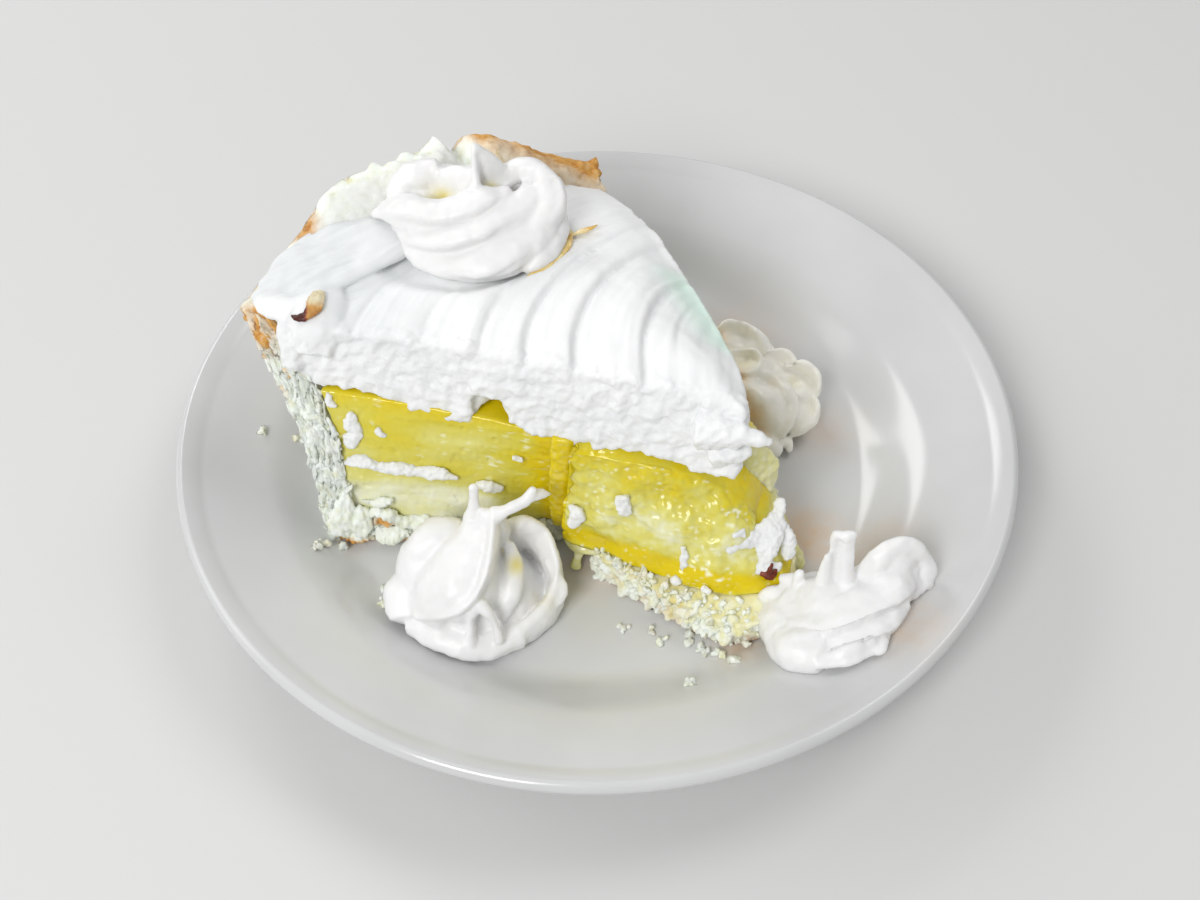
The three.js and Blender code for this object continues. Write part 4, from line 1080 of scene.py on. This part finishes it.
top_parts = [
    rosette(),
    # the lowest fold, half sunk in the meringue
    strand(UP, (-38.6, 11.5, 60.5, 2.5, 2), (-33.4, 6, 60.8, 4, 2.6), (-27, 3.6, 61, 4.4, 3),
           (-20, 3.2, 61, 4, 2.6), (-14.6, 5, 61, 2.6, 2)),
    # three leaves wind up to the left and in, each over the next
    strand((-0.2, -0.35, 0.9), (-46.2, 17.2, 62.6, 0.6, 0.5), (-42, 15.6, 65, 3.0, 1.4),
           (-36, 12.6, 67, 4.6, 2.0), (-29, 11.4, 68, 4.8, 2.4), (-22, 12.4, 69.6, 3.8, 2.2),
           (-18, 15.4, 71.4, 2, 1.4), turns=64),
    strand((-0.1, -0.45, 0.88), (-40, 11.2, 63, 1.2, 0.9), (-34, 8.2, 64.4, 3.6, 1.8),
           (-27, 7, 65.8, 4.4, 2.2), (-20, 8.4, 67.4, 4.2, 2.4), (-14.5, 12.4, 69, 3.4, 2.2),
           (-13, 16.6, 70.4, 2, 1.6), turns=64),
    strand((0.1, -0.45, 0.88), (-30, 2.6, 62, 1.4, 1.0), (-23, 1.6, 63, 3.6, 2.2),
           (-16.5, 3.6, 64.2, 3.8, 2.4), (-11.4, 8.4, 65.6, 3.4, 2.4), (-9.8, 14, 67, 2.4, 2), turns=64),
    # the round arc at the right and the outer lobe below it
    strand((0.3, -0.4, 0.86), (-18.5, 20.6, 69, 2.2, 1.8), (-14.6, 20.4, 71.4, 2.9, 2.4),
           (-10.6, 17.8, 70.6, 3.0, 2.6), (-9.4, 13, 68.4, 2.9, 2.6), (-11.4, 8.6, 66.4, 2.6, 2.4),
           (-14, 6.4, 65.4, 1.4, 1.2)),
    strand(UP, (-10.5, 21.5, 62.5, 2, 2), (-8.8, 15.5, 63, 3.2, 3), (-9, 10, 62.6, 3.4, 3),
           (-11.4, 5, 61.6, 3.2, 2.6), (-14.4, 2.6, 60.8, 2.4, 1.8)),
    # the peak, drawn up into a blade that leans to the left, with a ridge down its front
    strand(UPRIGHT, (-20.5, 19.6, 68, 5.6, 2.4), (-22, 18.9, 74, 3.0, 1.5), (-24.3, 17.6, 80.2, 0.5, 0.4)),
    strand(UPRIGHT, (-24, 17.2, 79, 0.5, 0.6), (-23.9, 16, 73.6, 0.9, 1.6), (-24.4, 13.6, 69, 1.2, 1.6)),
    # the back lobes behind the hollow
    strand(UP, (-42, 18.6, 65.6, 1.8, 1.6), (-38, 21.6, 68.6, 3.2, 2.6), (-32, 22.4, 70, 2.8, 2.4)),
    strand(UP, (-33, 20.6, 69.4, 2.2, 1.6), (-29, 19.6, 70.6, 2.4, 1.8), (-26, 19, 71, 1.8, 1.6)),
]
top_folds = (
    (3.6, 0.7, FRONT, (-45, 15.8, 64.4, 0), (-37, 10.8, 67, 2.2), (-30, 8.8, 68, 2.4), (-23, 10, 69.6, 2.0),
     (-19, 13, 71.2, 0)),
    (3.4, 0.7, FRONT, (-39, 7.8, 63.6, 0), (-31, 4.4, 65, 2.2), (-23, 5.2, 66.6, 2.4),
     (-15.6, 9.2, 68.6, 0)),
    (3.0, 0.7, FRONT, (-30, 0.2, 61.8, 0), (-21, -0.6, 62.6, 1.8), (-12.6, 4, 64.6, 0)),
    (3.0, 0.8, (0.7, -0.4, 0.6), (-10, 19, 71.6, 0), (-7.6, 13.6, 69.4, 1.2), (-9.4, 8.2, 67, 0)),
)
top_dents = (
    ((-32.5, 17, 70), 3.0, (0, 0.4, -4.2)),
    ((-28.5, 15.6, 70), 2.4, (0, 0.4, -3.2)),
    ((-19.6, 17, 72), 2.2, (0, 0.4, -3.2)),
    ((-13.5, 16.4, 73), 1.7, (0, 0.3, -1.8)),
    ((-13.8, 3.4, 64), 1.5, (0.2, 2.0, -0.4)),
)
top_stains = ((-31.6, 16.6, 66, 2.3, 1.0), (-21.5, 17.6, 68.6, 1.5, 0.7), (-13.8, 4.4, 63.4, 1.2, 1.0))
whirl("whirl_on_top", "whirl_top", top_parts, top_folds, top_dents, top_stains, seed=51)

# ---- Syrup at its foot ---------------------------------------------------------------------------
# Lemon syrup that has seeped out along the foot of the top whirl: a clear amber line some 2 mm wide that
# lies on the meringue.

TRICKLE_LEVEL = 58.9

# Lemon syrup: wet and glossy, IOR 1.4, roughness 0.1, in paler and darker stretches 3 mm long.
syrup, tree, where = surface("Lemon syrup, clear amber")
stretch = add(tree, "TexNoise", {"Scale": 300.0, "Detail": 2.0}, {"Vector": where})
amber = add(tree, "ValToRGB", links={"Fac": stretch}, stops=((0.35, "#d9b45c"), (0.65, "#f0dfae")))
shade(tree, {"Roughness": 0.1, "IOR": 1.4, "Coat Weight": 0.5, "Subsurface Weight": 0.3,
             "Subsurface Scale": 0.001}, {"Base Color": amber})
trickle = [
    strand(UP, (-5.2, 13.4, 59, 0.5, 0.3), (-5.6, 10, 58.8, 1.0, 0.5), (-7.6, 5.4, 58.6, 1.1, 0.5),
           (-10.4, 2, 58.6, 1.0, 0.5), (-15, 0.2, 58.6, 0.4, 0.3)),
    strand(UP, (-5.4, 12.4, 59, 0.6, 0.4), (-2.6, 13.2, 59, 0.8, 0.4), (0.4, 14.8, 59, 0.3, 0.2)),
]
points, faces = fused("syrup_trickle", trickle, voxel=0.24, rounds=1)
points = pushed(points, faces, 0.25 * lumps(points, 1.5, 53))
half_way = 0.5 + 0 * points[:, 0]
points[:, 2] += meringue_top(points[:, 0], points[:, 1], half_way, half_way) - TRICKLE_LEVEL
skin("syrup_trickle", points, faces, syrup)

# ---- Whirl at the front --------------------------------------------------------------------------
# A soft drop of whipped cream, piped on the plate: a big billow at the left, a leaf curled over at the
# right, a standing crest between them, and a torn peak with two horns and a wisp.

front_parts = [
    strand(UPRIGHT, (-24.5, -39.5, 6.5, 15, 13.6), (-24.3, -39.6, 13, 11.6, 10.6),
           (-23.2, -38.6, 21, 5.6, 5.4), turns=90),
    # left half: one big billow with two lobes on its outside
    strand(FRONT, (-23, -36.8, 26.5, 4, 3.8), (-25.6, -41, 22.4, 6.4, 5.6), (-28.4, -45, 17, 8.6, 7.6),
           (-31, -47.5, 10.5, 8.6, 6), turns=80),
    strand(FRONT, (-28, -35, 21.5, 3.5, 3.5), (-33, -36.4, 22, 4.4, 4.2), (-36.5, -40, 17, 5, 4.6),
           (-36.8, -44, 11, 4.5, 4)),
    strand(FRONT, (-35, -41, 12.5, 4, 4), (-39.4, -43, 12.2, 4.8, 4.6), (-38.7, -47.5, 9.8, 4.2, 3.8)),
    # the crest: a thin standing fold from the peak down the front and round to the left
    strand(FRONT, (-20.6, -37.4, 31, 0.9, 2), (-20.8, -40.4, 28.4, 1.1, 3.4),
           (-21.4, -43.6, 25.8, 1.2, 4.4), (-22.4, -46.6, 23.6, 1.2, 4.6), (-25, -49.4, 20, 1.3, 4),
           (-30, -50.6, 16.4, 1.3, 3), (-36.4, -49.4, 13.6, 0.9, 1.8), steps=90),
    # skirt along the front
    strand(UP, (-38, -48, 9.4, 3.2, 3), (-31, -52.4, 9.6, 3.2, 2.8), (-24, -54, 8.6, 3.0, 2.6),
           (-16, -50.6, 8.2, 3.2, 3)),
    # right half: a leaf standing round the core, curled over at its edge
    strand(UP, (-17.6, -32.4, 21, 2.2, 4), (-12.8, -33.2, 16.6, 1.9, 5.6), (-9.4, -37.4, 12, 1.8, 6),
           (-9, -43, 9.6, 1.9, 4.8), (-13.4, -49.2, 8.6, 2.0, 3.6), (-20, -53, 8.2, 1.8, 2.6), steps=90),
    strand(FRONT, (-10.6, -38, 16.6, 0.7, 0.6), (-8.2, -41.6, 14.2, 1.6, 0.8), (-8.6, -44.6, 12, 1.8, 0.8),
           (-12.4, -46.4, 11.4, 0.7, 0.6)),
    # a low ridge on the hollow face
    strand(FRONT, (-18, -39.4, 24, 1.2, 1.2), (-16.8, -42.4, 20.6, 1.8, 1.8), (-17.6, -46, 16.4, 2.2, 2),
           (-20.6, -49.4, 12.6, 2.0, 1.6)),
    # peak: two blunt horns and a wisp
    strand(UPRIGHT, (-22, -36.8, 24, 4.6, 3.6), (-21.4, -37, 28.5, 3.2, 2.2), (-21, -37, 31.6, 2.2, 1.4),
           square=0.8),
    strand(UPRIGHT, (-25.4, -36, 27, 1.9, 1.6), (-24.6, -35.4, 32, 1.2, 1.1), (-24.2, -35, 37.4, 1.1, 0.9)),
    strand((0, -0.6, 0.8), (-20.6, -37.8, 31.6, 2.0, 1.3), (-17.6, -37.2, 32.6, 1.3, 1.0),
           (-14.4, -35.6, 33.2, 1.1, 0.9), (-12.4, -34.2, 35.6, 0.8, 0.7)),
    strand((0, -0.6, 0.8), (-14, -35.2, 33.6, 0.9, 0.6), (-11.4, -34, 33.6, 1.3, 0.5),
           (-9, -32.8, 32, 0.5, 0.4)),
    # two legs of cream under the overhang
    strand(UPRIGHT, (-24.6, -51.2, 19.5, 1.5, 1.3), (-25.4, -54, 14.5, 1.0, 0.9), (-26, -55.4, 8, 1.4, 1.2)),
    strand(UPRIGHT, (-23.6, -51, 20, 1.6, 1.4), (-21.4, -53, 17.6, 1.1, 1.0),
           (-19.8, -54.6, 11.4, 1.0, 0.8)),
]
front_folds = (
    (2.2, 2.2, FRONT, (-27.5, -36.4, 25.5, 0), (-28.8, -40.5, 24, -0.9), (-31.5, -45, 20.5, -1.2),
     (-33.5, -48.5, 15, 0)),
)
front_dents = (
    ((-23.6, -53, 14.5), 2.6, (0, 3.0, 0.8)),
    ((-29.6, -53.4, 13.4), 2.4, (0, 1.8, 0.4)),
    ((-16.8, -42.5, 22), 4.4, (-0.4, 2.2, -1.4)),
)
# yellow on the hollow right face: partly lemon stain, partly painted light bounced from the custard
front_stains_and_bounce_light = ((-16.4, -42, 20.5, 1.9, 0.75), (-14.4, -41.4, 19.5, 1.2, 0.9), (-11, -45, 12, 2.0, 0.25))
whirl("whirl_at_front", "whirl_front", front_parts, front_folds, front_dents, front_stains_and_bounce_light, seed=61)

# ---- Whirl at the back ---------------------------------------------------------------------------
# A drop of whipped cream behind the slice that has stood longer and turned ivory, its colour also painted
# brighter as painted light against the slice's shade: round petals with thin raised lips, the left ones
# soaked with syrup.

back_parts = [
    strand(UPRIGHT, (35, 14, 6, 13, 12), (35, 13, 12, 11, 10), (33.5, 12, 17.5, 6, 6), turns=90),
    strand(UP, (27, 15, 20, 3.4, 3), (30.5, 19.5, 22.6, 4.2, 3), (36, 20, 21, 4.2, 3),
           (40, 19, 15.5, 3.2, 2.6)),
    strand(UP, (28.5, 11, 21, 3.6, 3), (32.5, 12.2, 22, 4.6, 3), (37, 13, 20, 3.6, 3)),
    strand(UP, (38, 16, 17.5, 3, 2.6), (43, 17, 16.4, 3.6, 2.8), (46, 16.6, 11.5, 3.2, 2.6)),
    strand(UP, (39, 11, 16.5, 3.4, 3), (45.5, 11.2, 15, 4.4, 3.2), (48.6, 10.6, 10, 3.8, 3)),
    strand(UP, (39, 7, 13.5, 3.2, 3), (45, 6.4, 12, 4, 3.2), (47.2, 5, 8, 3.4, 2.8)),
    strand((0.3, -0.4, 0.8), (29.5, 6, 18, 4, 3.6), (34, 4.8, 18.8, 5, 4.2), (38.5, 3.8, 16, 5, 4.2),
           (41, 1.8, 10.5, 3.8, 3.2)),
    strand(UP, (33, 0, 12.5, 3.4, 3), (37.5, -1, 10.5, 3.4, 3), (41.5, -1.5, 8, 2, 1.6)),
    strand(UP, (41, 0, 9, 1.6, 1.4), (43.6, 1.2, 8, 1.4, 1.2), (44, -1.4, 7, 0.8, 0.7)),
    # thin raised lips: of the top petal, the cup, the two petals at the right and the front lobe
    strand(UP, (26.6, 18.6, 23.6, 0.7, 1.2), (29.4, 21.2, 25.2, 0.9, 1.7), (33.4, 21, 25.8, 0.8, 1.8),
           (36.8, 18.8, 24.2, 0.8, 1.6), (39, 16.4, 21, 0.6, 1)),
    strand(UP, (37.4, 12, 24, 0.6, 1.0), (35.8, 14, 25, 0.5, 0.8), (33, 14.6, 25.2, 0.5, 0.7),
           (30, 13.6, 24.8, 0.5, 0.8), (28.8, 11.4, 24, 0.6, 1), (30.2, 9.2, 23.2, 0.8, 1.2),
           (33.2, 8.4, 22.8, 0.9, 1.3), (36.2, 9.6, 23, 0.8, 1.2), (37.4, 12, 24, 0.6, 1), steps=90),
    strand(UP, (39.4, 17.4, 20, 0.6, 1.2), (42.6, 18.4, 19.4, 0.8, 1.6), (45.2, 17.2, 18, 0.8, 1.6),
           (46.6, 15, 16.2, 0.5, 1)),
    strand(UP, (42.6, 14.6, 19.6, 0.5, 0.9), (46.8, 14.4, 19.4, 0.8, 1.6), (49.8, 13, 18, 0.9, 1.8),
           (50.8, 10.6, 15.6, 0.9, 1.8), (49.6, 9.2, 13.6, 0.6, 1)),
    strand(UP, (49.4, 9.2, 14.4, 0.5, 0.9), (50.6, 7.2, 12.6, 0.8, 1.7), (49.6, 4.4, 11, 0.8, 1.7),
           (46.6, 2.4, 10.4, 0.5, 1)),
    strand((0.3, -0.4, 0.85), (37, 9.6, 22, 1.4, 0.9), (40, 9, 20.4, 1.8, 1.3), (42.8, 6.6, 18.8, 1.8, 1.5),
           (44, 4.4, 16.6, 1.8, 1.8), (43.4, 1.6, 14.6, 1.6, 1.6), (41.4, -0.6, 12, 1.2, 1)),
]
back_folds = (
    (2.0, 2.0, (0.2, -0.5, 0.8), (29, 8.4, 20.5, 0), (32, 3.6, 20, -1.6), (36, -0.5, 14, 0)),
    (0.9, 2.2, (0.3, -0.3, 0.9), (38, 17, 21, 0), (43, 16, 20, -1.6), (46, 14, 18, 0)),
)
back_dents = (
    ((33.2, 12.2, 25), 2.8, (0, 0.4, -2.6)),
    ((32.6, 18.6, 25.6), 2.8, (0, -0.3, -1.8)),
    ((45.6, 10.6, 18.4), 2.6, (-0.3, 0, -1.8)),
    ((36.8, 6.4, 21), 2.2, (-0.2, 0.3, -0.8)),
)
back_stains = ((33.4, 11.8, 24, 2.4, 0.3), (45.4, 11, 18, 1.6, 0.25))
back_soaks = (
    (31.4, 7.4, 22, 2.6, 0.8),
    (33.2, 3.4, 19.6, 2.6, 0.9),
    (34.5, 0.6, 18, 3.2, 0.7),
    (35, -2, 14, 3.2, 0.8),
    (26.8, 18, 24, 2.8, 0.8),
    (40, 8.5, 19.5, 2.0, 0.3),
)
# its ivory is partly painted light: a brighter colour that lifts it out of the slice's shade
whirl("whirl_at_back", "whirl_back", back_parts, back_folds, back_dents, back_stains, back_soaks,
      ivory_and_painted_light=0.9, seed=71)

# ---- Whirl at the tip ----------------------------------------------------------------------------
# A drop of whipped cream at the tip, piped on the plate and drawn out to the right: two long folds over
# a full body, a curled petal at the right end, and thin fins that stand up in the middle.

tip_parts = [
    strand(UPRIGHT, (45, -49.5, 9, 11.5, 11.5), (46, -50, 14.5, 10, 10), (48, -48, 20, 5.5, 5), turns=90),
    strand(UP, (38, -46, 9, 4.6, 4.6), (38.2, -51, 11.8, 5.8, 5.8), (39, -56, 14, 5.6, 5)),
    strand(UP, (37, -54, 12.5, 4, 4), (39.5, -59, 15, 5.2, 4.6), (44, -62, 17.4, 3.6, 3)),
    # the full body behind the right petal
    strand(UP, (48, -50.5, 15.5, 6, 6), (54.5, -48.6, 18.5, 6.4, 5.6), (59.6, -46.8, 19.5, 5.4, 4.6),
           (63.6, -46, 18, 3, 2.6)),
    # two long folds, one over the other, from the lower left up to the right end
    strand((0.2, -0.45, 0.87), (38, -55.5, 17.4, 2.0, 1.2), (45, -55.6, 19.6, 3.4, 1.9),
           (52, -53.2, 21.2, 3.8, 2.1), (58, -49.4, 21.6, 3.2, 1.9), (62, -46, 20.6, 1.8, 1.4)),
    strand((0.2, -0.45, 0.87), (42, -60, 17.4, 2.4, 1.4), (49.6, -59, 18.6, 3.4, 1.9),
           (56, -55.4, 19.6, 3.2, 1.9), (61, -51, 19.6, 1.8, 1.4)),
    strand(UP, (42, -64, 18, 1.2, 0.9), (48, -63.6, 18.6, 1.8, 1.1), (54, -60.6, 18.8, 1.5, 1.0),
           (57, -58.4, 18.8, 0.8, 0.7)),
    strand(UP, (52.6, -61, 19.2, 1.1, 1.0), (54.6, -61.6, 19, 1.3, 1.0), (56.2, -59.4, 19.4, 1.0, 0.9)),
    # fins and the ragged left end
    strand((0, -1, 0.2), (49.6, -48.2, 18, 2.4, 2.6), (49.3, -46.6, 25, 1.5, 1.7),
           (49.1, -45.2, 31, 1.4, 1.2), (49.3, -44.6, 34.2, 1.3, 0.9), square=0.75),
    strand((0.5, -1, 0.2), (47.4, -47, 19, 1.6, 1.6), (46.8, -45.6, 25, 1.2, 1.1),
           (46.6, -44.4, 30, 1.2, 0.9), (46.9, -43.8, 33.2, 1.2, 0.7), square=0.75),
    strand(UP, (48.9, -45.4, 32.9, 1.0, 0.8), (47.6, -44.6, 33.3, 0.9, 0.7), (46.2, -43.8, 32.9, 0.8, 0.6)),
    strand((0, -1, 0.2), (45.2, -48.4, 18, 2.2, 1.8), (45, -47, 24, 1.5, 1.2), (45.3, -46, 29, 0.9, 0.8)),
    strand((0, -1, 0.2), (41, -46.6, 17, 1.5, 1.3), (40.4, -45.6, 20, 1.2, 1.0), (40.6, -45, 22, 0.9, 0.8)),
    strand(UP, (38.5, -46.4, 14.5, 3, 2.4), (35, -45.4, 14.5, 1.9, 1.5), (33.2, -45.4, 13, 0.9, 0.8)),
    strand(UP, (39.5, -44.4, 17, 2.4, 2), (37, -43.2, 17.4, 0.9, 0.8)),
    strand(UP, (36, -49, 14, 2.6, 2.2), (32.8, -50.4, 12.6, 1.0, 0.9)),
    # right petal: a curled lip that stands over the body and turns down at its end
    strand((0.3, -0.8, 0.5), (53.6, -47.4, 19, 3, 2.8), (54.8, -45.8, 23, 3, 2.4),
           (57.8, -43.8, 26, 2.8, 1.8), (61.4, -42.8, 26.8, 2.4, 1.4), (64.2, -43.4, 24.4, 2.4, 1.3),
           (66.4, -44.4, 20, 2.4, 1.3), (66, -45.6, 16.6, 1.4, 1.1), steps=90),
    strand((0.3, -0.8, 0.5), (57, -46.4, 21, 2.6, 2.4), (60.4, -44.8, 23.6, 3.2, 2.2),
           (63.4, -45.2, 21, 2.4, 1.8)),
    strand(UP, (62.4, -47, 18.4, 2.4, 1.8), (66.4, -45.6, 18.6, 1.6, 1.2), (67.4, -46.2, 17.4, 0.8, 0.7)),
    strand(UP, (60.5, -49, 18.8, 1.8, 1.6), (60.6, -51.6, 18.2, 1.0, 0.9), (60.2, -54.2, 18, 0.8, 0.7)),
]
tip_folds = (
    (3.6, 0.7, (0, -0.5, 0.87), (38, -57.6, 17, 0), (45, -58, 19, 2.0), (52, -55.6, 20.6, 2.4),
     (58.6, -51.6, 21, 2.0), (63, -48, 20, 0)),
    (3.0, 0.7, (0, -0.5, 0.87), (41, -62.6, 17, 0), (49, -61.6, 18.2, 1.8), (56, -57.8, 19.2, 1.8),
     (61, -53, 19.6, 0)),
)
tip_dents = (
    ((40.5, -50.5, 18.4), 3.0, (0.3, 0.8, -2.2)),
    ((52.5, -47, 24), 2.2, (0, 0.4, -1.8)),
    ((56.5, -52, 22.6), 1.3, (0, 0.8, -0.9)),
    ((63.4, -45.6, 22.8), 2.0, (0.3, 1.7, -0.3)),
    ((58.6, -46.4, 22.8), 1.8, (0, 1.4, -0.3)),
    ((43.6, -55.6, 21.2), 1.6, (0, 0.7, -1.1)),
    ((47, -58, 20.4), 1.2, (0, 0.6, -0.9)),
)
whirl("whirl_at_tip", "whirl_tip", tip_parts, tip_folds, tip_dents, ((35, -43.6, 14, 1.8, 0.3),), seed=81)

# ---- Studio --------------------------------------------------------------------------------------
# Pale matt floor under an even white surround and four soft square lights: key from the left, window
# from behind, a strong fill from the front and a ceiling light from the right.

LAMP_AIM = (0, 0, 0.03)

floor_mesh = bpy.data.meshes.new("floor")
floor_mesh.from_pydata([(-6, -6, 0), (6, -6, 0), (6, 6, 0), (-6, 6, 0)], [], [(0, 1, 2, 3)])
matt, tree, _ = surface("Pale studio floor")
shade(tree, {"Base Color": linear("#d4d4d3"), "Roughness": 0.8})
floor_mesh.materials.append(matt)
floor = bpy.data.objects.new("floor", floor_mesh)
bpy.context.collection.objects.link(floor)

world = bpy.data.worlds.new("studio")
world.use_nodes = True
surround = world.node_tree.nodes["Background"].inputs
surround["Color"].default_value = linear("#ffffff")
surround["Strength"].default_value = 0.36
bpy.context.scene.world = world


def lamp(name, place, size, power):
    """A soft square light at a place in metres, turned to the slice."""
    light = bpy.data.lights.new(name, "AREA")
    light.size = size
    light.energy = power
    holder = bpy.data.objects.new(name, light)
    holder.location = place
    holder.rotation_mode = "QUATERNION"
    way = Vector(np.subtract(LAMP_AIM, place))
    holder.rotation_quaternion = way.to_track_quat("-Z", "Y")
    bpy.context.collection.objects.link(holder)


lamp("key", (-0.85, 0.1, 0.55), size=0.45, power=1.4)
lamp("window", (-0.5, 0.75, 0.62), size=0.4, power=2.6)
lamp("fill", (-0.4, -0.75, 0.78), size=0.42, power=7.6)
lamp("ceiling", (0.5, 0.3, 0.95), size=0.5, power=2.5)

# ---- Camera --------------------------------------------------------------------------------------
# Looks down at the front cut from about 50 degrees, through a 42 mm lens on a 36 mm sensor.

ELEVATION = 49.75
ROLL = -0.40
camera = bpy.data.objects.new("camera", bpy.data.cameras.new("camera"))
camera.data.lens = 42
camera.data.sensor_width = 36
camera.location = (0.000628, -0.207602, 0.251982)
camera.rotation_mode = "XYZ"
tilt = Euler((np.radians(90 - ELEVATION), 0, 0)).to_matrix() @ Matrix.Rotation(np.radians(ROLL), 3, "Z")
camera.rotation_euler = tilt.to_euler()
bpy.context.collection.objects.link(camera)
bpy.context.scene.camera = camera
bpy.context.scene.view_settings.view_transform = "Standard"
